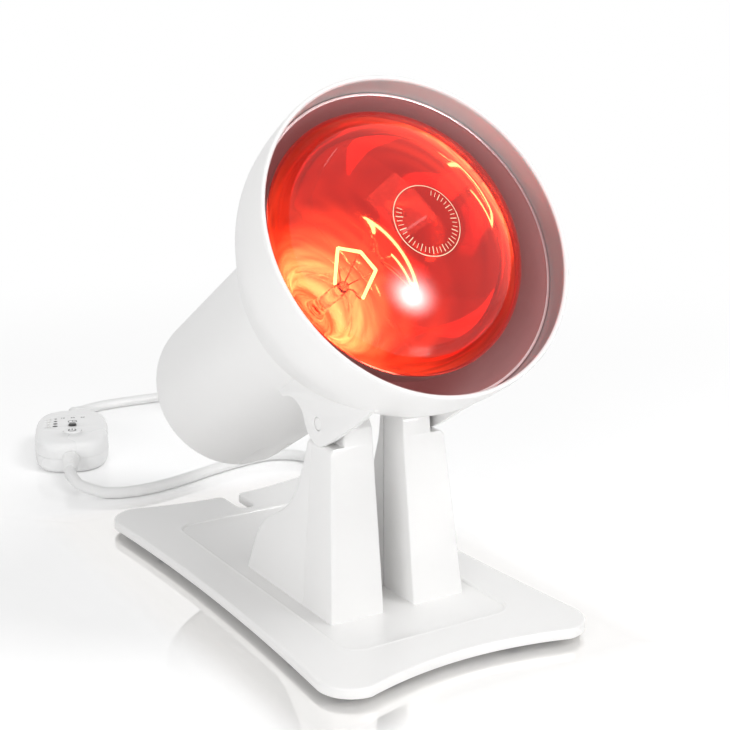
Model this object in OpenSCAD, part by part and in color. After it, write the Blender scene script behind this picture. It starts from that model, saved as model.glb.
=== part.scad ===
// Heat lamp with a red reflector bulb in a tilting bell housing, on two hollow posts and a flat
// base, with a timer control on its cord. Lamp front is -Y, up is +Z, floor is z = 0.
// Origin: middle of the base on the floor. Millimetres.

/* [Base] */
// width of the base plate at its corners
base_width = 146; // [120:1:180]
// depth of the base plate at its corners
base_depth = 265; // [220:1:320]
// inward bow of the long sides
side_bow = 4.3; // [0:0.1:10]
// inward bow of the front and rear edges
end_bow = 8.7; // [0:0.1:15]
// corner radius of the base plate
corner_radius = 17.5; // [8:0.5:30]
// height of the rubber feet below the plate
foot_height = 3.4; // [2:0.1:8]
// thickness of the whole base plate
plate_thickness = 5; // [4:0.1:9]

/* [Posts] */
// distance from the middle plane to the inner face of a post
post_inner = 8.6; // [6:0.1:14]
// the same to the outer face, at the foot of the post
post_outer = 38.3; // [30:0.1:50]
// the same to the outer face, at the shoulder
post_outer_top = 32.5; // [26:0.1:44]
// wall of the post shells
post_wall = 2.2; // [1.6:0.1:3]

/* [Head] */
// tilt of the lamp axis above the horizon
head_tilt = 30.8; // [0:0.1:60]
// height of the middle of the front rim
rim_height = 195.8; // [150:0.1:240]
// distance of the middle of the front rim in front of the base's middle
rim_forward = 86; // [60:0.1:110]
// inner radius of the front rim
rim_radius = 76; // [60:0.5:90]
// height of the tilt axis
pivot_height = 101.2; // [90:0.1:120]
// diameter of the reflector bulb
bulb_diameter = 130; // [95:0.5:135]

/* [Control] */
// width of the timer control
control_width = 48; // [36:0.5:60]
// length of the timer control
control_length = 83.4; // [60:0.2:110]
// thickness of the timer control
control_thickness = 20; // [16:0.5:30]
// diameter of the cord
cord_diameter = 7; // [5:0.1:9]

/* [Hidden] */
frame_shift = -2.4; // the base's middle lies this far in front of the origin
$fn = 64;
eps = 0.01;
plate_bottom = foot_height;
plate_top = foot_height + plate_thickness;
cover_top = plate_bottom + 1.6;
ballast_top = cover_top + 1.4;
recess_floor = plate_top - 0.8;
foot_spots = [[56, 112], [-56, 112], [56, -112], [-56, -112]];
cover_screws = [[63, 75], [-63, 75], [63, -75], [-63, -75], [34, 117], [-34, 117], [34, -116], [-34, -116]];
post_screw_y = [-58, -30, -8];
post_screw_x = 23.5;
notch_x = 3;
notch_half = 5;
notch_end = 99;
seam_y = -40;
shoulder = 91.2;
tongue_outer = 24.8;
pivot = [0, -46, pivot_height];
ear_in = 29.5;
ear_out = 32.5;
body_front = -86.5;
body_rear = -236.2;
bulb_shift = [-1.5, 3.6];
bulb_r = bulb_diameter / 2;
white = [0.93, 0.93, 0.92];
steel = [0.68, 0.69, 0.71];
brass_c = [0.78, 0.62, 0.32];

// smooth curve through the points p, n steps between each pair
function cr(a, b, c, d, t) = 0.5 * (2 * b + (c - a) * t + (2 * a - 5 * b + 4 * c - d) * t * t
    + (3 * b - a - 3 * c + d) * t * t * t);
function smooth(p, n) = let (m = len(p)) concat([for (i = [0:m - 2], k = [0:n - 1])
    cr(p[max(i - 1, 0)], p[i], p[i + 1], p[min(i + 2, m - 1)], k / n)], [p[m - 1]]);
// each point of the open line p moved sideways by d
function unit2(v) = v / norm(v);
function side(p, d) = let (m = len(p)) [for (i = [0:m - 1])
    let (t = unit2(p[min(i + 1, m - 1)] - p[max(i - 1, 0)])) p[i] + d * [-t[1], t[0]]];
function rev(p) = [for (i = [len(p) - 1:-1:0]) p[i]];

// base outline: round corners joined by sides that bow inward
function corner(cx, cy, r, a) = [for (k = [0:6]) [cx + r * cos(a + 15 * k), cy + r * sin(a + 15 * k)]];
function bowed(p, q, b) = let (t = unit2(q - p), m = [-t[1], t[0]])
    [for (k = [1:11]) p + (q - p) * k / 12 + m * b * 4 * (k / 12) * (1 - k / 12)];
function plate(w, d, sb, eb, r) = let (x = w / 2 - r, y = d / 2 - r)
    concat(corner(x, -y, r, -90), bowed([x + r, -y], [x + r, y], sb),
           corner(x, y, r, 0), bowed([x, y + r], [-x, y + r], eb),
           corner(-x, y, r, 90), bowed([-x - r, y], [-x - r, -y], sb),
           corner(-x, -y, r, 180), bowed([-x, -y - r], [x, -y - r], eb));
module plate_shape(inset) polygon(plate(base_width - 2 * inset, base_depth - 2 * inset, side_bow, end_bow,
    corner_radius - inset));
module notch_shape(grow) {
    translate([notch_x, notch_end + notch_half]) circle(notch_half + grow);
    translate([notch_x - notch_half - grow, notch_end + notch_half]) square([2 * (notch_half + grow), 60]);
}
module rounded_rect(w, d, r) {
    square([w - 2 * r, d], center = true);
    square([w, d - 2 * r], center = true);
    for (x = [-1, 1], y = [-1, 1]) translate([x * (w / 2 - r), y * (d / 2 - r)]) circle(r);
}
module at_z(z, h) translate([0, 0, z]) linear_extrude(h) children();
module pins(spots, r, z0, z1) for (s = spots) translate([s[0], s[1], z0]) cylinder(r = r, h = z1 - z0, $fn = 32);
post_spots = [for (x = [-1, 1], y = post_screw_y) [x * post_screw_x, y]];

module base_top() color(white) difference() {
    union() {
        difference() {
            at_z(plate_bottom, plate_thickness) plate_shape(0);
            at_z(plate_bottom - 1, 1 + ballast_top - plate_bottom) difference() {
                plate_shape(2.2);
                notch_shape(2.2);
            }
        }
        pins(cover_screws, 3.6, cover_top, ballast_top + 0.5);
    }
    at_z(recess_floor, 2) translate([0, -3.7]) rounded_rect(92, 189, 9);
    at_z(plate_bottom - 1, plate_thickness + 2) notch_shape(0);
    pins(cover_screws, 1.4, plate_bottom, 7.6);
    pins(post_spots, 1.7, plate_bottom, plate_top + 1);
}
module ballast_plate() color(steel) difference() {
    at_z(cover_top, ballast_top - cover_top) difference() {
        plate_shape(13);
        notch_shape(6);
    }
    pins(post_spots, 1.8, 0, plate_top);
    pins(cover_screws, 3.8, 0, plate_top);
}
module base_cover() color([0.86, 0.86, 0.85]) difference() {
    at_z(plate_bottom, cover_top - plate_bottom) difference() {
        plate_shape(2.5);
        notch_shape(2.6);
    }
    pins(cover_screws, 1.6, 0, plate_top);
    pins(cover_screws, 2.9, 0, plate_bottom + 0.95);
    pins(post_spots, 1.8, 0, plate_top);
    pins(post_spots, 3.2, 0, plate_bottom + 0.95);
    pins(foot_spots, 8.2, 0, plate_bottom + 0.5);
}
module rubber_feet() color([0.25, 0.25, 0.26]) pins(foot_spots, 8, 0, plate_bottom + 0.5);
module screw_up(s, head_r, shank_r, z0, z1) translate([s[0], s[1], z0]) {
    cylinder(r = head_r, h = 0.9, $fn = 32);
    cylinder(r = shank_r, h = z1 - z0, $fn = 32);
}
module cover_screw_set() color(steel) for (s = cover_screws) screw_up(s, 2.7, 1.4, plate_bottom, 7.5);
module post_screw_set() color(steel) for (s = post_spots) screw_up(s, 3, 1.5, plate_bottom, 17);

// side view of a post: y, z pairs from the rear foot up over the tongue and down the front
post_rear_line = smooth([[21.8, 7.6], [19.6, 12.8], [17.4, 18.3], [14.9, 24.4], [12.8, 29.1], [9.3, 34], [4.2, 38.7],
    [-2.8, 43.2], [-11.3, 48], [-17, 52.6], [-21.3, 57.2], [-24.8, 62.3], [-27.4, 68.7], [-29.4, 74.7],
    [-31.4, 80.9], [-33.4, 86.6], [-34.4, 91.3], [-35.4, 97.5], [-38.4, 103.6], [-42, 106.5], [-46, 107.6],
    [-50.3, 106.3], [-54, 103.3], [-57, 99.0]], 3);
post_front_foot = [-68.2, 7.6];
module post_side(inset) {
    line = side(post_rear_line, inset);
    m = len(line);
    polygon(concat([[line[0][0], 7.6 + inset]], [for (i = [1:m - 1]) line[i]],
        [[post_front_foot[0] + inset, 7.6 + inset]]));
}
module post_front_view(inset) polygon([[post_inner + inset, 7.6 + inset], [post_outer - inset, 7.6 + inset],
    [post_outer_top - inset, shoulder - 3 - inset * 0.4], [post_outer_top - 0.9 - inset, shoulder - 0.9 - inset * 0.7],
    [post_outer_top - 3 - inset, shoulder - inset], [tongue_outer - inset, shoulder - inset],
    [tongue_outer - inset, 120], [post_inner + inset, 120]]);
module post_block(inset) intersection() {
    translate([0, 0, 0]) rotate([90, 0, 90]) linear_extrude(50) post_side(inset);
    translate([0, 100, 0]) rotate([90, 0, 0]) linear_extrude(200) post_front_view(inset);
}
module half_space(front) translate([0, front ? seam_y - 100 : seam_y, 0]) cube([60, 100, 130]);
relief_z = 17;
module post_shell(front) {
    intersection() {
        difference() {
            post_block(0);
            difference() {
                post_block(post_wall);
                for (y = post_screw_y) translate([post_screw_x, y, 0]) cylinder(r = 4, h = 20, $fn = 32);
            }
            // round clearance for the ear of the head, and the pivot bore
            translate([tongue_outer, pivot[1], pivot[2]]) rotate([0, 90, 0]) cylinder(r = 11.4, h = 20);
            translate([20, pivot[1], pivot[2]]) rotate([0, 90, 0]) cylinder(r = 2.05, h = 10, $fn = 48);
            for (y = post_screw_y) translate([post_screw_x, y, 7]) cylinder(r = 1.5, h = 12, $fn = 32);
        }
        half_space(front);
    }
}
module relief_hole() translate([post_screw_x + 1, 8, relief_z]) rotate([-90, 0, 0]) cylinder(r = 4.7, h = 20, $fn = 48);
module post_front_right() color(white) post_shell(true);
module post_rear_right() color(white) difference() {
    post_shell(false);
    relief_hole();
}
module post_front_left() color(white) mirror([1, 0, 0]) post_shell(true);
module post_rear_left() color(white) mirror([1, 0, 0]) post_shell(false);

// tilt hardware, drawn for the right side and mirrored
module on_pivot(x, sides) for (s = sides) mirror([s < 0 ? 1 : 0, 0, 0]) translate([x, pivot[1], pivot[2]])
    rotate([0, 90, 0]) children();
module pivot_screws() color(steel) on_pivot(18.2, [1, -1]) {
    cylinder(r = 2, h = 12, $fn = 48);
    translate([0, 0, 12]) cylinder(r = 3.3, h = 1.2, $fn = 48);
}
module pivot_nuts() color(steel) on_pivot(19.3, [1, -1]) difference() {
    cylinder(r = 4, h = 3.2, $fn = 6);
    translate([0, 0, -1]) cylinder(r = 2, h = 6, $fn = 48);
}
module friction_washers() color([0.2, 0.2, 0.2]) on_pivot(tongue_outer, [1, -1]) difference() {
    cylinder(r = 7, h = 2.6);
    translate([0, 0, -1]) cylinder(r = 2.05, h = 5, $fn = 48);
}
module pivot_caps() color(white) on_pivot(31.5, [1, -1]) cylinder(r = 3.35, h = 0.7, $fn = 48);

// head: profiles in radius, z with z = 0 at the rim and +z out of the mouth
module in_head() translate([0, -rim_forward, rim_height]) rotate([90 - head_tilt, 0, 0]) children();
shade_out = smooth([[77.8, -0.5], [78.6, -2], [78.7, -6], [78.6, -14], [78, -23], [76.8, -31.5], [74.4, -39.6], [71.3, -47],
    [67.4, -56], [63.2, -65], [58.9, -73], [54.4, -80.5], [49.9, body_front]], 3);
function inward(p, d) = [for (q = p) [q[0] - d, q[1]]];
liner_out = [for (q = shade_out) if (q[1] < -13.2 && q[1] > -81) q];
function body_r(z) = 47.7 + (46.4 - 47.7) * (z - body_front) / (-228 - body_front);
body_tail = smooth([[46.4, -226], [45.9, -230], [44.2, -233.2], [41, -235.4], [36.5, body_rear]], 3);
module turned(p) rotate_extrude($fn = 128) polygon(p);
module body_solid(d) let (m = len(body_tail) - 1) turned(concat([[0, body_front], [body_r(body_front) - d, body_front]],
    [for (i = [0:m]) body_tail[i] + [-d, d * i / m]], [[0, body_rear + d]]));
tab_z = [-107, -91];
module ear_tab_room(grow) for (s = [-1, 1])
    translate([s * (ear_in + ear_out) / 2 - (ear_out - ear_in) / 2 - grow, -39, tab_z[0] - grow])
        cube([ear_out - ear_in + 2 * grow, 15, tab_z[1] - tab_z[0] + 2 * grow]);
joint_spots = [for (a = [90, 210, 330]) [44.2 * cos(a), 44.2 * sin(a)]];

module shade() color(white) in_head() difference() {
    turned(concat([[rim_radius, 0], [rim_radius + 1, 0]], shade_out, [[40, body_front], [40, body_front + 2.5],
        [shade_out[len(shade_out) - 1][0] - 2.6, body_front + 2.5]],
        rev(inward([for (q = shade_out) if (q[1] > body_front + 3 && q[1] < -3) q], 2.5)), [[rim_radius, -3]]));
    pins(joint_spots, 1.6, body_front - 1, body_front + 4);
}
module shade_liner() color([0.8, 0.8, 0.8]) in_head() turned(concat(inward(liner_out, 2.8),
    [[40, -81], [40, -81.8 + 1.6]], rev(inward(liner_out, 3.6))));
module rear_body() color(white) in_head() difference() {
    union() {
        difference() {
            body_solid(0);
            difference() {
                body_solid(2.4);
                translate([0, 0, body_front - 2.5]) difference() {
                    cylinder(r = 60, h = 10);
                    cylinder(r = 40, h = 30, center = true);
                }
            }
            translate([0, 0, body_front - 5]) cylinder(r = 40, h = 10);
        }
        // ribs that the ears are screwed to, and pillars for the lampholder bar
        intersection() {
            body_solid(1);
            for (s = [-1, 1]) {
                translate([s * 27.5 - 1.9, -46, tab_z[0]]) cube([3.8, 22, tab_z[1] - tab_z[0]]);
                translate([s * 36 + bulb_shift[0] - 5, -6 + bulb_shift[1], -198]) cube([10, 12, 8]);
                translate([s * 44 - 7, -6 + bulb_shift[1], -198]) cube([14, 12, 8]);
            }
        }
    }
    ear_tab_room(0.3);
    // long round ended pocket in the underside
    difference() {
        translate([0, -30, 0]) rotate([90, 0, 0]) linear_extrude(30) hull_free_slot();
        body_solid(1.2);
    }
    // air slots in the rear wall
    for (k = [-2:2]) translate([k * 11 - 1.6, -(22 - abs(k) * 3), body_rear - 1]) cube([3.2, 2 * (22 - abs(k) * 3), 5]);
    pins(joint_spots, 1.3, body_front - 10, body_front + 1);
    for (s = [-1, 1]) {
        translate([s * 36 + bulb_shift[0], bulb_shift[1], -196]) cylinder(r = 1.4, h = 12, $fn = 32);
        for (z = [-103, -95]) translate([s * 27.5, -28, z]) rotate([0, 90, 0]) cylinder(r = 1.25, h = 9, center = true, $fn = 24);
    }
}
module hull_free_slot() {
    for (z = [-192.5, -225]) translate([0, z]) circle(6.8);
    translate([-6.8, -225]) square([13.6, 32.5]);
}
module shade_screws() color(steel) in_head() for (s = joint_spots) translate([s[0], s[1], body_front]) {
    translate([0, 0, 2.5]) cylinder(r = 2.6, h = 1.6, $fn = 32);
    translate([0, 0, -7]) cylinder(r = 1.3, h = 9.6, $fn = 32);
}

// ears: y, z outline of the left ear, its tip round the pivot
ear_line = concat([[-97.6, 119.8], [-93.4, 118.6], [-82.3, 110.3], [-71.7, 103.9], [-65.3, 99.8], [-57.9, 95.2]],
    [for (a = [246:8:310]) [pivot[1] + 10.9 * cos(a), pivot[2] + 10.9 * sin(a)]],
    smooth([[-36.7, 94.2], [-34, 98.2], [-31.2, 103.5], [-27.3, 106.7], [-22.3, 108.5], [-17.2, 108.3], [-11, 106.6]], 3),
    [[-2, 112], [-3, 127], [-30, 140], [-60, 150], [-96, 136]]);
module ear() difference() {
    union() {
        difference() {
            translate([ear_in, 0, 0]) rotate([90, 0, 90]) linear_extrude(ear_out - ear_in) polygon(ear_line);
            in_head() difference() {
                turned(concat([[0, 0], [shade_out[0][0], 0]], [for (q = shade_out) [q[0] + 0.3, q[1]]],
                    [[body_r(body_front) + 0.3, body_front], [body_r(-200) + 0.3, -200], [0, -200]]));
                translate([20, -60, tab_z[0]]) cube([20, 36, tab_z[1] - tab_z[0]]);
            }
        }
        translate([27.5, pivot[1], pivot[2]]) rotate([0, 90, 0]) cylinder(r = 6.5, h = 2.1);
    }
    translate([20, pivot[1], pivot[2]]) rotate([0, 90, 0]) cylinder(r = 2.05, h = 20, $fn = 48);
    translate([30.2, pivot[1], pivot[2]]) rotate([0, 90, 0]) cylinder(r = 3.5, h = 5, $fn = 48);
    in_head() for (z = [-103, -95]) translate([27.5, -28, z]) rotate([0, 90, 0]) cylinder(r = 1.3, h = 8, $fn = 24);
}
module ear_right() color(white) ear();
module ear_left() color(white) mirror([1, 0, 0]) ear();
module ear_screws() color(steel) in_head() for (s = [0, 1], z = [-103, -95]) mirror([s, 0, 0])
    translate([26.5, -28, z]) rotate([0, 90, 0]) {
        cylinder(r = 1.1, h = 6.2, $fn = 24);
        translate([0, 0, 6.1]) cylinder(r = 1.9, h = 0.9, $fn = 24);
    }

// lampholder and bulb, on the bulb's own axis
module on_bulb() in_head() translate([bulb_shift[0], bulb_shift[1], 0]) children();
module holder_bar() color(steel) on_bulb() difference() {
    translate([-39.5, -7, -190]) cube([79, 14, 1.6]);
    for (x = [-36, 36]) translate([x, 0, -192]) cylinder(r = 1.6, h = 6, $fn = 32);
    for (x = [-8, 8]) translate([x, 0, -192]) cylinder(r = 1.7, h = 6, $fn = 32);
}
module holder_bar_screws() color(steel) on_bulb() for (x = [-36, 36]) translate([x, 0, -194.5]) {
    cylinder(r = 1.4, h = 7, $fn = 32);
    translate([0, 0, 6.1]) cylinder(r = 2.7, h = 1.8, $fn = 32);
}
module lampholder() color([0.94, 0.93, 0.9]) on_bulb() difference() {
    turned([[0, -188.4], [17, -188.4], [20.5, -184], [20.5, -158], [19.5, -136.5], [14.6, -136.5], [14.6, -175], [0, -175]]);
    for (x = [-8, 8]) translate([x, 0, -189]) cylinder(r = 1.4, h = 8, $fn = 32);
    for (y = [-13, 13]) translate([0, y, -189]) cylinder(r = 1.4, h = 8, $fn = 32);
}
module holder_screws() color(steel) on_bulb() for (x = [-8, 8]) translate([x, 0, -192]) {
    cylinder(r = 2.6, h = 1.9, $fn = 32);
    cylinder(r = 1.4, h = 9.5, $fn = 32);
}
module holder_terminals() color(brass_c) on_bulb() for (y = [-13, 13]) translate([0, y, -191.5]) {
    cylinder(r = 2.4, h = 3, $fn = 32);
    cylinder(r = 1.3, h = 10, $fn = 32);
}
thread = [for (k = [0:20]) [0.45 * cos(k * 180), -144 - k * 1.05]];
module holder_shell() color(brass_c) on_bulb() turned(concat([for (t = thread) [14.45 + 0.1 + t[0] * 0.1, t[1]]],
    rev([for (t = thread) [14.05 + t[0] * 0.1, t[1]]])));
module centre_contact() color(brass_c) on_bulb() translate([0, 0, -175]) {
    translate([-3, -9, 0]) cube([6, 12, 0.5]);
    cylinder(r = 3, h = 2.2, $fn = 32);
}
module bulb_cap() color([0.8, 0.8, 0.8]) on_bulb() turned(concat([[13.4, -141.5]],
    [for (t = thread) [13.0 + t[0], t[1]]], [[11, -166.5]], rev([for (t = thread) [12.4 + t[0], t[1]]]), [[12.9, -141.5]]));
module cap_insulator() color([0.08, 0.08, 0.09]) on_bulb() turned([[0, -166.5], [11, -166.5], [10.5, -168], [5.5, -171],
    [0, -171]]);
module cap_tip() color(steel) on_bulb() turned([[0, -171], [4.6, -171], [4, -172.4], [0, -172.7]]);
face_z = -20;
dome_rise = 27;
dome = smooth([for (a = [0, 10, 22, 36, 50, 64, 78, 90]) [bulb_r * cos(a), face_z + dome_rise * sin(a)]], 2);
dome_in = smooth([for (a = [0, 10, 22, 36, 50, 64, 78, 90]) [(bulb_r - 1.6) * cos(a), face_z + (dome_rise - 1.6) * sin(a)]], 2);
module bulb_face() color([0.85, 0.06, 0.05]) on_bulb() turned(concat([[bulb_r - 1.6, face_z], [bulb_r, face_z]], dome, rev(dome_in)));
bowl = smooth([[bulb_r, face_z], [bulb_r, -25], [63.7, -32], [60.9, -40], [56.2, -49], [50, -58.5], [42.8, -68], [35.9, -77.5],
    [29.8, -87.5], [25, -97], [21.6, -107], [19, -117], [16.6, -127], [14.4, -135.5], [13.4, -141.5]], 2);
module bulb_reflector() color([0.82, 0.83, 0.85]) on_bulb() turned(concat(bowl, rev(inward(bowl, 1.2))));
module bulb_stem() color([0.9, 0.93, 0.95]) on_bulb() turned(smooth([[0, -74], [2.6, -75], [3.4, -80], [3.6, -92], [4.2, -104],
    [6, -114], [10.5, -122], [13.6, -125.8], [12.4, -126.6], [8.6, -123], [3, -117], [0, -116]], 2));

// round wire along a list of points
function dirs(p) = let (m = len(p)) [for (i = [0:m - 1]) let (v = p[min(i + 1, m - 1)] - p[max(i - 1, 0)]) v / norm(v)];
function ring_at(c, t, r, n) = let (u0 = abs(t[2]) > 0.9 ? [1, 0, 0] : [0, 0, 1], u = cross(u0, t) / norm(cross(u0, t)),
    v = cross(t, u)) [for (k = [0:n - 1]) c + r * (cos(k * 360 / n) * u + sin(k * 360 / n) * v)];
module tube(p, r, n) {
    m = len(p);
    t = dirs(p);
    polyhedron(points = [for (i = [0:m - 1], q = ring_at(p[i], t[i], r, n)) q],
        faces = concat([[for (k = [0:n - 1]) k]], [[for (k = [n - 1:-1:0]) (m - 1) * n + k]],
            [for (i = [0:m - 2], k = [0:n - 1]) [i * n + k, (i + 1) * n + k, (i + 1) * n + (k + 1) % n, i * n + (k + 1) % n]]));
}
filament_z = -62;
filament_path = [[-12.9, -2.8], [-5.7, 15.2], [6.3, 12], [11.8, 1.9], [0.1, -11.5]];
module bulb_filament() color([1, 0.85, 0.5]) on_bulb() tube([for (p = filament_path) [p[0], p[1], filament_z]], 0.5, 8);
module bulb_supports() color(steel) on_bulb() {
    tube(smooth([[-2.2, 0, -77], [-5, -1, -71], [-11.4, -2.4, -66], [-12.9, -2.8, -62.7]], 3), 0.45, 8);
    tube(smooth([[1.4, -1.6, -77], [1.6, -4, -71], [0.6, -10, -66], [0.1, -11.5, -62.7]], 3), 0.45, 8);
    for (q = [[-5.7, 15.2], [6.3, 12], [11.8, 1.9]])
        tube(smooth([[q[0] * 0.12, q[1] * 0.12, -76.5], [q[0] * 0.5, q[1] * 0.5, -71], [q[0] * 0.9, q[1] * 0.9, -66], [q[0], q[1], -62.7]], 3), 0.35, 8);
}
module head_wires() color([0.85, 0.85, 0.84]) in_head() for (s = [0, 1])
    tube(smooth(s == 0 ? [[-1.5, -9.4, -192.6], [6, -17, -196], [18, -25, -190], [26, -31, -170], [22, -37, -135], [20, -38.5, -112]]
        : [[-1.5, 16.6, -192.6], [12, 14, -198], [26, -2, -199], [31, -20, -186], [29, -28, -160], [23, -33, -130], [20.5, -35.5, -112]], 4), 1.1, 8);

// wiring and cord entry in the right post
post_axis_x = post_screw_x + 1;
module post_wires() color([0.85, 0.85, 0.84]) for (s = [-1.3, 1.3])
    tube(smooth([[post_axis_x + s, 6.9, relief_z], [post_axis_x + s, 5.9, relief_z], [post_axis_x + s, 4.9, relief_z + 0.1], [post_axis_x + s, -4, 22.5], [post_axis_x - 2 + s, -24, 45], [post_axis_x - 4 + s, -36, 66],
        [16.5 + s, -42, 84], [15 + s, -45, 96]], 4), 1.1, 8);
module lamp_relief() color(white) translate([post_axis_x, 7, relief_z]) rotate([-90, 0, 0]) {
    cylinder(r = 6.4, h = 4.6, $fn = 48);
    cylinder(r = 4.6, h = 15, $fn = 48);
    translate([0, 0, 13.5]) rotate_extrude($fn = 48) polygon([[0, 0], [5.6, 0], [5.6, 2], [4.1, 26], [0, 26]]);
}
// steel strap over the two wires, standing on the floor of the post
module cord_clamp() color(steel) translate([post_axis_x - 6, 0.4, 7.6 + post_wall]) difference() {
    cube([12, 4, 12.4]);
    translate([1.2, -1, -1]) cube([9.6, 6, 12.2]);
}

// timer control, lying flat with its face up; local +y is the cord end away from the lamp
control_at = [-40, 275];
control_turn = -21.2;
module at_control() translate([control_at[0], control_at[1], 0]) rotate([0, 0, control_turn]) children();
function oval(w, l) = [for (k = [0:63]) let (a = k * 5.625, c = cos(a), s = sin(a), n = 2 / 3.1)
    [w / 2 * sign(c) * pow(abs(c), n), l / 2 * sign(s) * pow(abs(s), n)]];
module oval_slab(inset, z, h) at_z(z, h) polygon(oval(control_width - 2 * inset, control_length - 2 * inset));
half_z = control_thickness / 2;
led_spots = [[-15.1, 18], [-15.1, 12.1], [-15.1, 6.2], [-15.1, 0.4]];
timer_spot = [0.7, 1.5];
power_spot = [0.7, -11.9];
control_screws = [[15, 30], [-15, 30], [15, -30], [-15, -30]];
module cord_ports() for (s = [-1, 1]) translate([0, s * (control_length / 2 - 4), half_z]) rotate([90, 0, 0])
    cylinder(r = 4.3, h = 12, center = true, $fn = 48);
module control_top() color(white) at_control() difference() {
    union() {
        difference() {
            union() {
                oval_slab(0, half_z, half_z - 3);
                oval_slab(0.8, control_thickness - 3, 1.8);
                oval_slab(2.2, control_thickness - 1.2, 1.2);
            }
            oval_slab(2, half_z - 1, half_z - 1);
        }
        intersection() {
            oval_slab(1, half_z, half_z - 1);
            pins(control_screws, 3, half_z, control_thickness - 1);
        }
    }
    pins(control_screws, 1.2, half_z - 1, control_thickness - 4);
    pins(led_spots, 1.4, 10, 30);
    translate([timer_spot[0], timer_spot[1], 12]) cylinder(r = 2.7, h = 20, $fn = 48);
    translate([power_spot[0], power_spot[1], 12]) cylinder(r = 6.1, h = 20, $fn = 64);
    cord_ports();
}
module control_bottom() color(white) at_control() difference() {
    union() {
        oval_slab(2.2, 0, 1.2);
        oval_slab(0.8, 1.2, 1.8);
        oval_slab(0, 3, half_z - 3);
    }
    difference() {
        oval_slab(2, 2, half_z);
        pins(control_screws, 3, 0, half_z);
    }
    pins(control_screws, 1.5, -1, half_z + 1);
    pins(control_screws, 2.8, -1, 2.2);
    cord_ports();
}
module control_screw_set() color(steel) at_control() for (s = control_screws) translate([s[0], s[1], 0.4]) {
    cylinder(r = 2.5, h = 1.6, $fn = 32);
    cylinder(r = 1.2, h = 13, $fn = 32);
}
module control_board() color([0.2, 0.42, 0.28]) at_control() difference() {
    at_z(10.2, 1.6) rounded_rect(36, 50, 3);
    pins(control_screws, 3.4, 5, 15);
}
module control_switches() color([0.15, 0.15, 0.16]) at_control() {
    translate([timer_spot[0] - 3, timer_spot[1] - 3, 11.8]) cube([6, 6, 2.2]);
    translate([power_spot[0] - 3, power_spot[1] - 3, 11.8]) cube([6, 6, 2.2]);
}
module control_leds() color([0.9, 0.85, 0.7]) at_control() for (s = led_spots) translate([s[0], s[1], 11.8]) {
    cylinder(r = 1.25, h = 6.6, $fn = 32);
}
module control_triac() color([0.3, 0.3, 0.32]) at_control() {
    translate([6, 8, 11.8]) cube([10, 4.6, 5]);
    translate([4, 13.2, 11.8]) cube([14, 1.6, 5.4]);
}
module timer_button() color([0.12, 0.12, 0.12]) at_control() translate([timer_spot[0], timer_spot[1], 0]) {
    translate([0, 0, 15.2]) cylinder(r = 2.55, h = 6, $fn = 48);
    translate([0, 0, 15.2]) cylinder(r = 3.6, h = 1, $fn = 48);
}
module power_button() color(white) at_control() translate([power_spot[0], power_spot[1], 0]) {
    translate([0, 0, 15.2]) cylinder(r = 5.9, h = 5.4, $fn = 64);
    translate([0, 0, 15.2]) cylinder(r = 7, h = 1, $fn = 64);
}
module control_relief(end) at_control() translate([0, end * (control_length / 2 - 3), half_z]) rotate([-90 * end, 0, 0])
    rotate_extrude($fn = 48) polygon([[0, -2.6], [5.4, -2.6], [5.4, -1.4], [4.2, -1.4], [4.2, 3.2], [5.6, 3.2], [5.6, 5], [4.1, 27], [0, 27]]);
module relief_lamp_side() color(white) control_relief(-1);
module relief_mains_side() color(white) control_relief(1);

// cords, along hand-set points
function from_control(x, y, z) = let (c = cos(control_turn), s = sin(control_turn))
    [control_at[0] + x * c - y * s, control_at[1] + x * s + y * c, z];
relief_end = control_length / 2 - 3 + 27;
cord_r = cord_diameter / 2;
floor_z = cord_r + 0.1;
deck_z = plate_top + cord_r + 0.1;
// from the right post over the rear right corner of the base, across the floor to the control
lamp_path = concat([[post_axis_x, 46.5, relief_z], [post_axis_x, 48, relief_z]],
    smooth([[post_axis_x, 50, relief_z], [28, 62, 15.4], [36, 76, 13.2], [48, 92, deck_z], [60, 107, deck_z], [70, 121, deck_z + 0.6],
    [78, 134, 9.4], [84.5, 148, 4.8], [88.5, 163, floor_z], [86, 178, floor_z], [77, 189, floor_z], [62, 194, floor_z], [36, 190, floor_z],
    [10, 182, floor_z], [-14, 175, floor_z], [-36, 173, floor_z], [-55, 180, floor_z], [-65.5, 196, 6.4]], 2),
    [from_control(0, -relief_end - 7, 9.3), from_control(0, -relief_end - 1.5, half_z), from_control(0, -relief_end, half_z)]);
module lamp_cord() color([0.9, 0.9, 0.9]) tube(lamp_path, cord_r, 12);
coil_at = [110, 320];
coil_bottom = 1;
coil_mid = 35;
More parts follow.
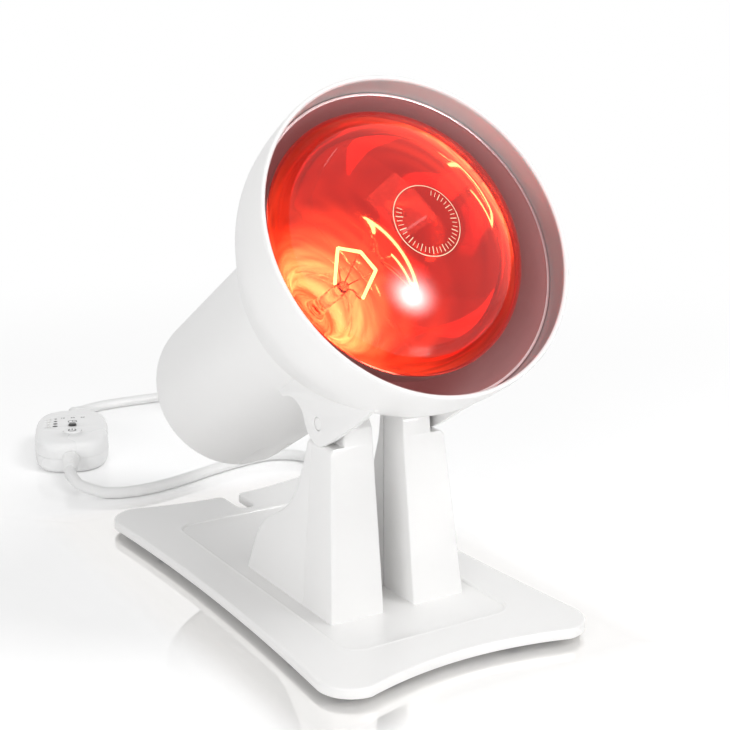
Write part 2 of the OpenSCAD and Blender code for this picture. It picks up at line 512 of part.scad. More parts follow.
// from the control to the coil, and from the coil to the plug
mains_path = concat([from_control(0, relief_end, half_z), from_control(0, relief_end + 1.5, half_z)],
    smooth([from_control(0, relief_end + 7, 9.3), [-10, 353, 6], [0, 361.5, floor_z], [17, 367, floor_z], [48, 367, floor_z], [76, 363, 4.2],
    [95, 360, 4.5]], 2));
plug_axis = [150, 292, 8];
plug_path = concat([[plug_axis[0], plug_axis[1], plug_axis[2]], [plug_axis[0], plug_axis[1] + 1.5, plug_axis[2]]],
    smooth([[149.9, 296, 8], [149.6, 303, 8]], 3));
module mains_cord() color([0.9, 0.9, 0.9]) {
    tube(mains_path, cord_r, 12);
    tube(plug_path, cord_r, 12);
}
module cord_coil() color([0.9, 0.9, 0.9]) translate([coil_at[0], coil_at[1], coil_bottom]) rotate_extrude($fn = 96)
    translate([coil_mid - 7, 0]) square([14, 21]);
module cord_tie() color([0.15, 0.15, 0.15]) translate([coil_at[0], coil_at[1] - coil_mid, 0]) rotate([90, 0, 90])
    translate([0, 0, -3]) linear_extrude(6) difference() {
        translate([-8.2, 0.1]) square([16.4, 23]);
        translate([-7.3, 0.9]) square([14.6, 21.3]);
    }
module plug_body() color(white) translate([plug_axis[0], plug_axis[1], 0]) {
    translate([-11, -54, 0.1]) cube([22, 26, 15.9]);
    translate([0, -28, plug_axis[2]]) rotate([-90, 0, 0]) rotate_extrude($fn = 48) polygon([[0, 0], [6.5, 0], [6.5, 4], [4.1, 28], [0, 28]]);
}
module plug_blades() color(brass_c) translate([plug_axis[0], plug_axis[1] - 54, plug_axis[2]])
    for (x = [-6.35, 6.35]) translate([x - 0.75, -17, -3.2]) cube([1.5, 17, 6.4]);

// puts a piece of the base's layout into the lamp's frame, whose origin is on the table under the middle of its box
module in_frame() translate([0, frame_shift, 0]) children();

in_frame() base_top();
in_frame() ballast_plate();
in_frame() base_cover();
in_frame() rubber_feet();
in_frame() cover_screw_set();
in_frame() post_screw_set();
in_frame() post_front_left();
in_frame() post_rear_left();
in_frame() post_front_right();
in_frame() post_rear_right();
in_frame() pivot_screws();
in_frame() pivot_nuts();
in_frame() friction_washers();
in_frame() pivot_caps();
in_frame() lamp_relief();
in_frame() cord_clamp();
in_frame() post_wires();
in_frame() shade();
in_frame() shade_liner();
in_frame() rear_body();
in_frame() shade_screws();
in_frame() ear_left();
in_frame() ear_right();
in_frame() ear_screws();
in_frame() lampholder();
in_frame() holder_shell();
in_frame() centre_contact();
in_frame() holder_screws();
in_frame() holder_terminals();
in_frame() holder_bar();
in_frame() holder_bar_screws();
in_frame() head_wires();
in_frame() bulb_face();
in_frame() bulb_reflector();
in_frame() bulb_cap();
in_frame() cap_insulator();
in_frame() cap_tip();
in_frame() bulb_stem();
in_frame() bulb_supports();
in_frame() bulb_filament();
in_frame() control_top();
in_frame() control_bottom();
in_frame() control_screw_set();
in_frame() control_board();
in_frame() control_switches();
in_frame() control_leds();
in_frame() control_triac();
in_frame() timer_button();
in_frame() power_button();
in_frame() relief_lamp_side();
in_frame() relief_mains_side();
in_frame() lamp_cord();
in_frame() mains_cord();
in_frame() cord_coil();
in_frame() cord_tie();
in_frame() plug_body();
in_frame() plug_blades();
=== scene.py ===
"""Dresses the heat lamp: red reflector bulb, tilting bell housing, two posts, flat base, timer control and cords."""
import math

import bmesh
import bpy
from bpy.props import FloatProperty, FloatVectorProperty, PointerProperty
from mathutils import Matrix, Vector


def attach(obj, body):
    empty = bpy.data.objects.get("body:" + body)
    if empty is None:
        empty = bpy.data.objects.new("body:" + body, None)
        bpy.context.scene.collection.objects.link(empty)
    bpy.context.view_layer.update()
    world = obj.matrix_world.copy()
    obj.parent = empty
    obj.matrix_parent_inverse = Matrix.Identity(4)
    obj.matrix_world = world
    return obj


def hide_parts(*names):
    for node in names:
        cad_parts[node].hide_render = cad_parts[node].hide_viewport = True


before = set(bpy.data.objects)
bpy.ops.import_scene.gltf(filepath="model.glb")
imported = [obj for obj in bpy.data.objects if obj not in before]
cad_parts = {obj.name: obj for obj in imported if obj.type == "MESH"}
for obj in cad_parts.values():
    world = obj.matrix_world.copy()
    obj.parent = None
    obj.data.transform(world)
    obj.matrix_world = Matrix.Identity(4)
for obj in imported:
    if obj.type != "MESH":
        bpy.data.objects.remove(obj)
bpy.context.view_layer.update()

bl_info = {
    "name": "Heat lamp pieces",
    "version": (1, 0, 0),
    "blender": (4, 5, 0),
    "location": "3D View > Sidebar > Heat Lamp",
    "description": "Builds the visible pieces of a red heat lamp around its packed solids",
    "category": "Add Mesh",
}

MM = 0.001
MOVE_Y = -2.4  # the lengths below are laid out from a line 2.4 mm behind the middle of the lamp's box
HEAD_TILT = math.radians(30.8)
RIM_MIDDLE = (0.0, -86.0, 195.8)
BULB_SHIFT = (-1.5, 3.6)
PIVOT = (-46.0, 101.2)
BODY_FRONT, BODY_REAR = -86.5, -236.2


# ---------------------------------------------------------------- sizes and colours a user may change
def colour(name, about, value):
    return FloatVectorProperty(name=name, description=about, subtype="COLOR", size=3, min=0, max=1, default=value)


def length(name, about, value):
    return FloatProperty(name=name, description=about, unit="LENGTH", subtype="DISTANCE", min=0, default=value * MM)


class LampSizes(bpy.types.PropertyGroup):
    base_edge: length("Base edge", "Radius of the base plate's top edge", 1.3)
    recess_lip: length("Recess lip", "Radius of the recess's soft lip", 0.55)
    post_front_edge: length("Post front edge", "Radius of a post's front corners", 0.9)
    post_rear_edge: length("Post rear edge", "Radius of a post's rear corners", 3.6)
    seam: length("Seam", "Gap that shows where two shells meet", 0.12)
    ear_edge: length("Ear edge", "Width of the round on the yoke ears' edges", 0.7)
    cord_thickness: length("Cord thickness", "Outer diameter of the cord", 7.0)
    print_rise: length("Print thickness", "How far a print stands on its surface", 0.04)
    filament_coil: length("Filament coil", "Radius of the filament's coil", 0.72)


class LampColours(bpy.types.PropertyGroup):
    plastic: colour("Housing", "White of the housing, posts and base", (0.90, 0.895, 0.888))
    control: colour("Control", "White of the timer control", (0.92, 0.92, 0.918))
    cord: colour("Cord", "White of the cord", (0.89, 0.89, 0.885))
    liner: colour("Liner", "Grey pink of the satin liner and the inside of the shade's lip", (0.60, 0.50, 0.50))
    glass: colour("Bulb glass", "Red stain of the bulb's face", (0.88, 0.075, 0.045))
    mirror: colour("Bulb mirror", "Silver of the bulb's reflector", (0.68, 0.66, 0.64))
    glow: colour("Filament glow", "Colour of the filament", (1.0, 0.8, 0.4))
    ceramic: colour("Ceramic", "Lampholder's ceramic", (0.84, 0.81, 0.74))
    steel: colour("Steel", "Plated steel of the fixings", (0.56, 0.57, 0.59))
    brass: colour("Brass", "Brass of the contacts and blades", (0.78, 0.58, 0.26))
    rubber: colour("Rubber", "Feet", (0.16, 0.16, 0.165))
    floor: colour("Floor", "Table top", (1.0, 1.0, 1.0))


def sizes():
    return bpy.context.scene.heat_lamp_sizes


def colours():
    return bpy.context.scene.heat_lamp_colours


# ---------------------------------------------------------------- points, all lengths in millimetres
def smooth(p, n):
    """Catmull-Rom curve through the points p, n steps between each pair, as the part's source has it."""
    out = []
    for i in range(len(p) - 1):
        a, b, c, d = (Vector(p[k]) for k in (max(i - 1, 0), i, i + 1, min(i + 2, len(p) - 1)))
        for t in (k / n for k in range(n)):
            out.append(0.5 * (2 * b + (c - a) * t + (2 * a - 5 * b + 4 * c - d) * t * t
                              + (3 * b - a - 3 * c + d) * t ** 3))
    return out + [Vector(p[-1])]


def head_point(x, y, z):
    """A point of the head, whose own z axis leaves the mouth, in the lamp's frame."""
    s, c = math.sin(HEAD_TILT), math.cos(HEAD_TILT)
    return (x, RIM_MIDDLE[1] + y * s - z * c, RIM_MIDDLE[2] + y * c + z * s)


def head_direction(x, y, z):
    return Vector(head_point(x, y, z)) - Vector(head_point(0, 0, 0))


def bulb_point(x, y, z):
    return head_point(x + BULB_SHIFT[0], y + BULB_SHIFT[1], z)


def angles(first, last, steps):
    """Angles in radians from the first to the last degree, both included."""
    return [math.radians(first + (last - first) * k / steps) for k in range(steps + 1)]


def polar(r, a, cx=0.0, cy=0.0):
    return (cx + r * math.cos(a), cy + r * math.sin(a))


def circle(x, y, r, steps=32):
    return [Vector(polar(r, 2 * math.pi * k / steps, x, y)) for k in range(steps)]


def rounded_rect(w, d, r, cx=0.0, cy=0.0, steps=8):
    out = []
    for sx, sy, a in ((1, -1, -90), (1, 1, 0), (-1, 1, 90), (-1, -1, 180)):
        out += [Vector(polar(r, t, cx + sx * (w / 2 - r), cy + sy * (d / 2 - r))) for t in angles(a, a + 90, steps)]
    return out


def at(ring, z):
    return [(p[0], p[1], z) for p in ring]


def corner_points(p, radii, steps=6):
    """Polygon p with each corner rounded to its radius."""
    out = []
    for i, r in enumerate(radii):
        a, b, c = Vector(p[i - 1]), Vector(p[i]), Vector(p[(i + 1) % len(p)])
        if r <= 0:
            out.append(b)
            continue
        u, v = (a - b).normalized(), (c - b).normalized()
        half = math.acos(max(-1, min(1, u.dot(v)))) / 2
        cut_back = min(r / math.tan(half), 0.49 * (a - b).length, 0.49 * (c - b).length)
        r = cut_back * math.tan(half)
        m = b + (u + v).normalized() * (r / math.sin(half))
        s, e = b + u * cut_back - m, b + v * cut_back - m
        ang = math.acos(max(-1, min(1, s.normalized().dot(e.normalized()))))
        for t in (k / steps for k in range(steps + 1)):
            out.append(m + (s * math.sin((1 - t) * ang) + e * math.sin(t * ang)) / math.sin(ang))
    return out


def inset(p, d):
    """Closed counter-clockwise outline moved inwards by d."""
    out = []
    for i, b in enumerate(p):
        u, v = (b - p[i - 1]).normalized(), (p[(i + 1) % len(p)] - b).normalized()
        m = Vector((-u.y, u.x)) + Vector((-v.y, v.x))
        m = m / max(m.length_squared / 2, 0.25)
        out.append(b + m * d)
    return out


# ---------------------------------------------------------------- meshes
def placed(name, data):
    """New object in the scene for a mesh, curve, light or camera."""
    obj = bpy.data.objects.new(name, data)
    bpy.context.collection.objects.link(obj)
    return obj


def shade(obj, angle):
    """Smooth faces, with sharp edges where the surface turns by more than angle."""
    for p in obj.data.polygons:
        p.use_smooth = angle > 0
    if angle > 0:
        obj.data.set_sharp_from_angle(angle=math.radians(angle))


def mesh_object(name, bm, smooth_angle):
    """Object made of a BMesh, which is freed."""
    mesh = bpy.data.meshes.new(name)
    bm.to_mesh(mesh)
    bm.free()
    obj = placed(name, mesh)
    shade(obj, smooth_angle)
    return obj


def build(name, verts, faces, place=None, smooth_angle=35, merge=0.0005):
    """A closed mesh object from millimetre points, its faces turned outwards."""
    raw = bpy.data.meshes.new("raw")
    raw.from_pydata([tuple(x * MM for x in (place(*v) if place else v)) for v in verts], [], faces)
    bm = bmesh.new()
    bm.from_mesh(raw)
    bpy.data.meshes.remove(raw)
    if merge:
        bmesh.ops.remove_doubles(bm, verts=bm.verts, dist=merge * MM)
    bmesh.ops.recalc_face_normals(bm, faces=bm.faces)
    return mesh_object(name, bm, smooth_angle)


def loft(name, rings, place=None, smooth_angle=35):
    """Skin through closed rings of equal count, flat at both ends."""
    n, last = len(rings[0]), len(rings) - 1
    faces = [[i * n + k, i * n + (k + 1) % n, (i + 1) * n + (k + 1) % n, (i + 1) * n + k]
             for i in range(last) for k in range(n)]
    faces += [list(range(n))[::-1], [last * n + k for k in range(n)]]
    return build(name, [v for r in rings for v in r], faces, place, smooth_angle)


def turned(name, profile, n=160, place=None, smooth_angle=32):
    """Lathe of a closed r, z outline. Points on the axis become poles."""
    verts, index, faces = [], [], []
    for r, z in profile:
        if r < 1e-6:
            index.append([len(verts)] * n)
            verts.append((0, 0, z))
        else:
            index.append([len(verts) + k for k in range(n)])
            verts += [(*polar(r, 2 * math.pi * k / n), z) for k in range(n)]
    for a, b in zip(index, index[1:] + index[:1]):
        if a[0] == a[1] and b[0] == b[1]:
            continue
        for k in range(n):
            q = [a[k], a[(k + 1) % n], b[(k + 1) % n], b[k]]
            faces.append([v for j, v in enumerate(q) if v not in q[:j]])
    return build(name, verts, faces, place, smooth_angle)


def fill_between(bm, loops):
    """Flat faces between closed loops of vertices, the inner ones as holes."""
    edges = []
    for loop in loops:
        for v, w in zip(loop, loop[1:] + loop[:1]):
            edges.append(bm.edges.get((v, w)) or bm.edges.new((v, w)))
    bmesh.ops.triangle_fill(bm, use_beauty=True, use_dissolve=False, edges=edges)


def stacked(name, chains, fills, place=None, smooth_angle=35):
    """Solid from chains of rings. Each chain is a list of rings of equal count;
    fills lists the groups of (chain, ring) between which a flat face is laid."""
    bm = bmesh.new()
    made = []
    for chain in chains:
        rows = [[bm.verts.new(tuple(x * MM for x in (place(*v) if place else v))) for v in ring] for ring in chain]
        for a, b in zip(rows, rows[1:]):
            for k in range(len(a)):
                j = (k + 1) % len(a)
                bm.faces.new((a[k], a[j], b[j], b[k]))
        made.append(rows)
    for fill in fills:
        fill_between(bm, [made[c][r] for c, r in fill])
    bmesh.ops.recalc_face_normals(bm, faces=bm.faces)
    return mesh_object(name, bm, smooth_angle)


def joined(name, parts, smooth_angle=35):
    """One object from several, all of one body and finish."""
    bm = bmesh.new()
    for part in parts:
        bm.from_mesh(part.data)
        bpy.data.objects.remove(part)
    return mesh_object(name, bm, smooth_angle)


def settle(obj, smooth_angle=None):
    """Turns the object's live modifiers and its place into plain mesh data."""
    bpy.context.view_layer.update()
    graph = bpy.context.evaluated_depsgraph_get()
    mesh = bpy.data.meshes.new_from_object(obj.evaluated_get(graph), preserve_all_data_layers=True, depsgraph=graph)
    mesh.transform(obj.matrix_world)
    old = obj.data
    obj.modifiers.clear()
    obj.matrix_world = Matrix()
    obj.data = mesh
    bpy.data.meshes.remove(old)
    if smooth_angle is not None:
        shade(obj, smooth_angle)
    return obj


def bevelled(obj, width, segments, angle, smooth_angle):
    m = obj.modifiers.new("Rounded edges", "BEVEL")
    m.width, m.segments, m.limit_method, m.angle_limit = width, segments, "ANGLE", math.radians(angle)
    settle(obj, smooth_angle)


def cut(obj, cutter, smooth_angle=35):
    m = obj.modifiers.new("Cut", "BOOLEAN")
    m.operation, m.object, m.solver = "DIFFERENCE", cutter, "EXACT"
    settle(obj, smooth_angle)
    bpy.data.objects.remove(cutter)


def grown(name, tree, points=(), edges=(), values=None, smooth_angle=None):
    """Runs a Geometry Nodes tree on millimetre points, with values for its inputs, and keeps the plain result."""
    mesh = bpy.data.meshes.new(name)
    mesh.from_pydata([tuple(v * MM for v in p) for p in points], list(edges), [])
    obj = placed(name, mesh)
    m = obj.modifiers.new("Nodes", "NODES")
    m.node_group = tree
    for item in tree.interface.items_tree:
        if item.item_type == "SOCKET" and item.in_out == "INPUT" and item.name in (values or {}):
            m[item.identifier] = values[item.name]
    return settle(obj, smooth_angle)


def repaint(obj, paint):
    obj.data.materials.clear()
    obj.data.materials.append(paint)


def finish_piece(obj, paint, body, slot, *nodes):
    """Gives the piece its finish and its body, and hides the solids that it stands for."""
    repaint(obj, paint)
    for p in obj.data.polygons:
        p.material_index = 0
    obj.data.transform(Matrix.Translation((0, MOVE_Y * MM, 0)))
    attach(obj, body)
    if nodes:
        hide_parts(*nodes)


def finish_nodes(paint, *nodes):
    for n in nodes:
        repaint(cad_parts[n], paint)


# ---------------------------------------------------------------- node trees
def feed(tree, node, values):
    """Sets inputs, by name or number, from plain values, from other nodes' outputs or from lists of outputs."""
    for key, value in values.items():
        for v in value if isinstance(value, list) else [value]:
            if isinstance(v, bpy.types.NodeSocket):
                tree.links.new(v, node.inputs[key])
            else:
                node.inputs[key].default_value = v


def add(tree, kind, values=None, out=0, **settings):
    """Adds a node with its settings and inputs; returns one of its outputs, by name or number."""
    node = tree.nodes.new(kind)
    for key, value in settings.items():
        setattr(node, key, value)
    feed(tree, node, values or {})
    return node.outputs[out]


def maths(tree, operation, *values):
    return add(tree, "ShaderNodeMath", dict(enumerate(values)), operation=operation)


def vector(tree, operation, *values, out=0):
    return add(tree, "ShaderNodeVectorMath", dict(enumerate(values)), out, operation=operation)


def scaled(tree, value, factor):
    return add(tree, "ShaderNodeVectorMath", {0: value, "Scale": factor}, operation="SCALE")


def combined(tree, x=0.0, y=0.0, z=0.0):
    return add(tree, "ShaderNodeCombineXYZ", {"X": x, "Y": y, "Z": z})


def ranged(tree, value, lo, hi, to_lo=0.0, to_hi=1.0, kind="LINEAR"):
    """Maps lo..hi to to_lo..to_hi and stays within them."""
    return add(tree, "ShaderNodeMapRange", {"Value": value, "From Min": lo, "From Max": hi, "To Min": to_lo,
                                            "To Max": to_hi}, interpolation_type=kind)


def blend(tree, factor, a, b):
    return add(tree, "ShaderNodeMix", {0: factor, 6: a, 7: b}, 2, data_type="RGBA")


def noise(tree, place, scale, detail, distortion=0.0):
    return add(tree, "ShaderNodeTexNoise", {"Vector": place, "Scale": scale, "Detail": detail,
                                            "Distortion": distortion}, "Fac")


def relief(tree, height, strength, distance):
    return add(tree, "ShaderNodeBump", {"Height": height, "Strength": strength, "Distance": distance})


def object_place(tree):
    return add(tree, "ShaderNodeTexCoord", out="Object")


def ray(tree, kind):
    return add(tree, "ShaderNodeLightPath", out=f"Is {kind} Ray")


def group(name, kind, inputs, outputs):
    """Empty node group with its sockets; returns it, the outputs of its input node and its output node."""
    tree = bpy.data.node_groups.new(name, kind)
    for label, socket, value in inputs:
        made = tree.interface.new_socket(name=label, in_out="INPUT", socket_type="NodeSocket" + socket)
        if value is not None:
            made.default_value = value
    for label, socket in outputs:
        tree.interface.new_socket(name=label, in_out="OUTPUT", socket_type="NodeSocket" + socket)
    return tree, tree.nodes.new("NodeGroupInput").outputs, tree.nodes.new("NodeGroupOutput")


def geometry_group(name, values, takes_mesh=True):
    """Empty Geometry Nodes group with a mesh out, a mesh in when asked for, and its numbers."""
    mesh_in = [("Geometry", "Geometry", None)] if takes_mesh else []
    return group(name, "GeometryNodeTree", mesh_in + [(label, "Float", value) for label, value in values],
                 [("Geometry", "Geometry")])


def deliver(tree, shape, paint, result):
    """Last nodes of a geometry group: real meshes in one finish."""
    real = add(tree, "GeometryNodeRealizeInstances", {0: shape})
    feed(tree, result, {"Geometry": add(tree, "GeometryNodeSetMaterial", {"Geometry": real, "Material": paint})})


# ---------------------------------------------------------------- finishes
def material(name):
    mat = bpy.data.materials.new(name)
    mat.use_nodes = True
    return mat, mat.node_tree, mat.node_tree.nodes["Principled BSDF"]


def pattern_group(name, draw, swing):
    """Group that gives colour, gloss and height.
    draw makes its two patterns, and swing is the first one's part in the gloss."""
    if name in bpy.data.node_groups:
        return bpy.data.node_groups[name]
    inputs = [("Light", "Color", (1, 1, 1, 1)), ("Dark", "Color", (0.9, 0.9, 0.9, 1)), ("Gloss", "Float", 0.3),
              ("Detail", "Float", 1000.0)]
    tree, given, result = group(name, "ShaderNodeTree", inputs,
                                [("Color", "Color"), ("Roughness", "Float"), ("Height", "Float")])
    cloud, height = draw(tree, object_place(tree), given["Detail"])
    feed(tree, result, {"Color": blend(tree, cloud, given["Light"], given["Dark"]),
                        "Roughness": maths(tree, "MULTIPLY_ADD", cloud, swing, given["Gloss"]), "Height": height})
    return tree


def moulded_group():
    """Moulded plastic: faint cloudiness of colour and gloss, and the skin's fine grain."""
    def draw(tree, place, detail):
        return noise(tree, place, 16.0, 2.0), noise(tree, place, detail, 1.0)
    return pattern_group("Moulded skin", draw, 0.07)


def metal_group():
    """Plated or spun metal: fine streaks in colour, gloss and height."""
    def draw(tree, place, detail):
        drawn_out = add(tree, "ShaderNodeMapping", {"Vector": place, "Scale": (1, 1, 0.06)})
        streak = noise(tree, drawn_out, detail, 3.0)
        return streak, streak
    return pattern_group("Metal streaks", draw, 0.16)


def surfaced(name, pattern, light, dark, gloss, detail, bump, metallic=0.0):
    """Principled material fed by one of the groups."""
    if name in bpy.data.materials:
        return bpy.data.materials[name]
    mat, tree, shader = material(name)
    node = tree.nodes.new("ShaderNodeGroup")
    node.node_tree = pattern
    feed(tree, node, {"Light": (*light, 1), "Dark": (*dark, 1), "Gloss": gloss, "Detail": detail})
    feed(tree, shader, {"Base Color": node.outputs["Color"], "Roughness": node.outputs["Roughness"],
                        "Normal": relief(tree, node.outputs["Height"], bump, 0.1 * MM), "Metallic": metallic})
    return mat


def tinted(c, f):
    return tuple(x * f for x in c)


def plastic(name, c, gloss, grain, bump):
    return surfaced(name, moulded_group(), c, tinted(c, 0.975), gloss, grain, bump)


def metal(name, c, gloss):
    return surfaced(name, metal_group(), c, tinted(c, 0.82), gloss, 700.0, 0.05, 1.0)


def white_plastic():
    return plastic("White housing plastic", colours().plastic, 0.27, 1500.0, 0.03)


def cord_jacket():
    return plastic("Cord jacket", colours().cord, 0.42, 900.0, 0.08)


def steel():
    return metal("Plated steel", colours().steel, 0.28)


def brass():
    return metal("Brass", colours().brass, 0.24)


# ---------------------------------------------------------------- stage
BASE_W, BASE_D, SIDE_BOW, END_BOW, CORNER_R = 146.0, 265.0, 4.3, 8.7, 17.5
LENS, EYE, LOOK_AT = 70.2, (-0.35327, -0.61222, 0.29386), (0, -0.038765, 0.12376)
FLOOR_REACH, FLOOR_LEVEL = 9000.0, -0.15
LAMPS_ROUND, LAMPS_AWAY, SPOT_PEAK = Vector((0.0, -0.06, 0.16)), 1.5, 100.0
FROM_FRONT, FROM_ABOVE = (0.49, -0.85, 0.19), (0.27, -0.34, 0.90)
# side, width, height, watts, and True for soft light without a mirror image or False for a mirror image alone
LAMPS = {
    "Key": ((0.42, -0.50, 0.76), 0.5, 0.5, 6.2, True),
    "Front light": (FROM_FRONT, 0.6, 1.05, 1.9, True),
    "Top light": (FROM_ABOVE, 0.5, 1.2, 3.4, True),
    "Left light": ((-0.84, -0.50, 0.20), 1.1, 0.9, 8.8, True),
    "Front panel": (FROM_FRONT, 0.6, 1.05, 8.0, False),
    "Top panel": (FROM_ABOVE, 0.36, 1.25, 4.5, False),
    "Spot": ((0.31, -0.90, 0.30), 0.9, 0.9, 2.0, False),
}


def aim(obj, target):
    obj.rotation_euler = (Vector(target) - obj.location).to_track_quat("-Z", "Y").to_euler()


class HEATLAMP_OT_stage(bpy.types.Operator):
    """Camera at the photograph's angle, pale table top, white room and soft lamps"""
    bl_idname = "heat_lamp.stage"
    bl_label = "Stage"

    def execute(self, context):
        camera = bpy.data.cameras.new("Camera")
        camera.sensor_width, camera.lens, camera.clip_end = 36.0, LENS, 100.0
        eye = placed("Camera", camera)
        eye.location = EYE
        aim(eye, LOOK_AT)
        scene = context.scene
        scene.camera = eye
        scene.view_settings.view_transform = "Standard"
        scene.world = bpy.data.worlds.new("White room")
        scene.world.use_nodes = True
        tree = scene.world.node_tree
        seen = ray(tree, "Camera")
        for kind in ("Glossy", "Transmission"):
            seen = maths(tree, "MAXIMUM", seen, ray(tree, kind))
        feed(tree, tree.nodes["Background"], {"Strength": ranged(tree, seen, 0.0, 1.0, 0.5, 1.0),
                                              "Color": (1, 1, 1, 1)})
        self.floor()
        for name, values in LAMPS.items():
            self.lamp(name, *values)
        return {"FINISHED"}

    def lamp(self, name, side, width, height, watts, soft):
        light = bpy.data.lights.new(name, "AREA")
        light.shape, light.size, light.size_y, light.energy = "RECTANGLE", width, height, watts
        if name == "Spot":
            self.gather(light)
        obj = placed(name, light)
        obj.location = LAMPS_ROUND + LAMPS_AWAY * Vector(side)
        aim(obj, LAMPS_ROUND)
        obj.visible_camera, obj.visible_diffuse, obj.visible_glossy = False, soft, not soft

    def gather(self, light):
        """Makes a lamp bright in its middle and dark at its edge."""
        light.use_nodes = True
        tree = light.node_tree
        where = add(tree, "ShaderNodeNewGeometry", out="Parametric")
        off = vector(tree, "DISTANCE", where, (0.5, 0.5, 0.0), out="Value")
        falling = maths(tree, "POWER", ranged(tree, off, 0.0, 0.5, 1.0, 0.0), 3.0)
        feed(tree, tree.nodes["Emission"], {"Strength": maths(tree, "MULTIPLY", falling, SPOT_PEAK)})

    def floor(self):
        """Polished white table: a clear coat and a mirror sheet round the base, all fading into the white room."""
        s, z = FLOOR_REACH, FLOOR_LEVEL
        obj = build("floor", [(-s, -s, z), (s, -s, z), (s, s, z), (-s, s, z)], [[0, 1, 2, 3]], merge=0)
        mat, tree, shader = material("Polished white table")
        place = object_place(tree)
        apart = add(tree, "ShaderNodeSeparateXYZ", {0: place}).node.outputs
        clear = maths(tree, "MAXIMUM", *(maths(tree, "SUBTRACT", maths(tree, "ABSOLUTE", apart[axis]), size / 2 * MM)
                                         for axis, size in (("X", BASE_W), ("Y", BASE_D))))

        def fade(near, far, strongest):
            return ranged(tree, clear, near, far, strongest, 0.0, "SMOOTHSTEP")

        cloud = noise(tree, place, 6.0, 2.0)
        feed(tree, shader, {
            "Base Color": (*colours().floor, 1), "Roughness": ranged(tree, cloud, 0.0, 1.0, 0.04, 0.07),
            "Coat Weight": fade(0.016, 0.08, 0.8), "Coat Roughness": 0.02, "Coat IOR": 2.4,
            "Emission Color": (1, 1, 1, 1), "Emission Strength": maths(tree, "MULTIPLY", ray(tree, "Camera"), 0.14)})
        sheet = add(tree, "ShaderNodeBsdfAnisotropic", {"Color": (0.91, 0.89, 0.87, 1), "Roughness": 0.01})
        table = add(tree, "ShaderNodeMixShader", {0: fade(0.012, 0.034, 0.55), 1: shader.outputs[0], 2: sheet})
        haze = ranged(tree, vector(tree, "LENGTH", place, out="Value"), 0.35, 0.9, kind="SMOOTHSTEP")
        seen = maths(tree, "MULTIPLY", haze, ray(tree, "Camera"))
        mix = add(tree, "ShaderNodeMixShader", {0: seen, 1: table, 2: add(tree, "ShaderNodeEmission")})
        feed(tree, tree.nodes["Material Output"], {"Surface": mix})
        obj.data.materials.append(mat)


# ---------------------------------------------------------------- cords
CONTROL_AT, CONTROL_TURN = (-40.0, 275.0), math.radians(-21.2)
CONTROL_W, CONTROL_L, CONTROL_T = 48.0, 83.4, 20.0
RELIEF_START = CONTROL_L / 2 - 3
RELIEF_END = RELIEF_START + 27
FLOOR_Z, DECK_Z = 3.6, 12.0
COIL_AT, PLUG_AXIS = (110.0, 320.0), (150.0, 292.0, 8.0)
COIL_TURN, COIL_STEP, COIL_CROSSING = 315.0, 15.0, 42.0
COIL_SLOTS = [(38.5, 4.5), (31.5, 4.5), (31.5, 11.5), (31.5, 18.5), (38.5, 18.5), (38.5, 11.5)]
LAMP_LINE = [(24.5, 50, 17), (28, 62, 15.4), (36, 76, 13.2), (48, 92, DECK_Z), (60, 107, DECK_Z),
             (70, 121, DECK_Z + 0.6), (78, 134, 9.4), (84.5, 148, 4.8), (88.5, 163, FLOOR_Z), (86, 178, FLOOR_Z),
             (77, 189, FLOOR_Z), (62, 194, FLOOR_Z), (36, 190, FLOOR_Z), (10, 182, FLOOR_Z), (-14, 175, FLOOR_Z),
             (-36, 173, FLOOR_Z), (-55, 180, FLOOR_Z), (-65.5, 196, 6.4)]
MAINS_LINE = [(-10, 353, 6), (0, 361.5, FLOOR_Z), (17, 367, FLOOR_Z), (48, 367, FLOOR_Z), (76, 363, 4.2),
              (95, 360, 4.5), (COIL_AT[0], COIL_AT[1] + 38.5, 4.5)]
PLUG_LINE = [(149.2, 309, 9.4), (149.9, 298, 8.2), (150, 293.5, 8)]


def control_point(x, y, z):
    c, s = math.cos(CONTROL_TURN), math.sin(CONTROL_TURN)
    return (CONTROL_AT[0] + x * c - y * s, CONTROL_AT[1] + x * s + y * c, z)


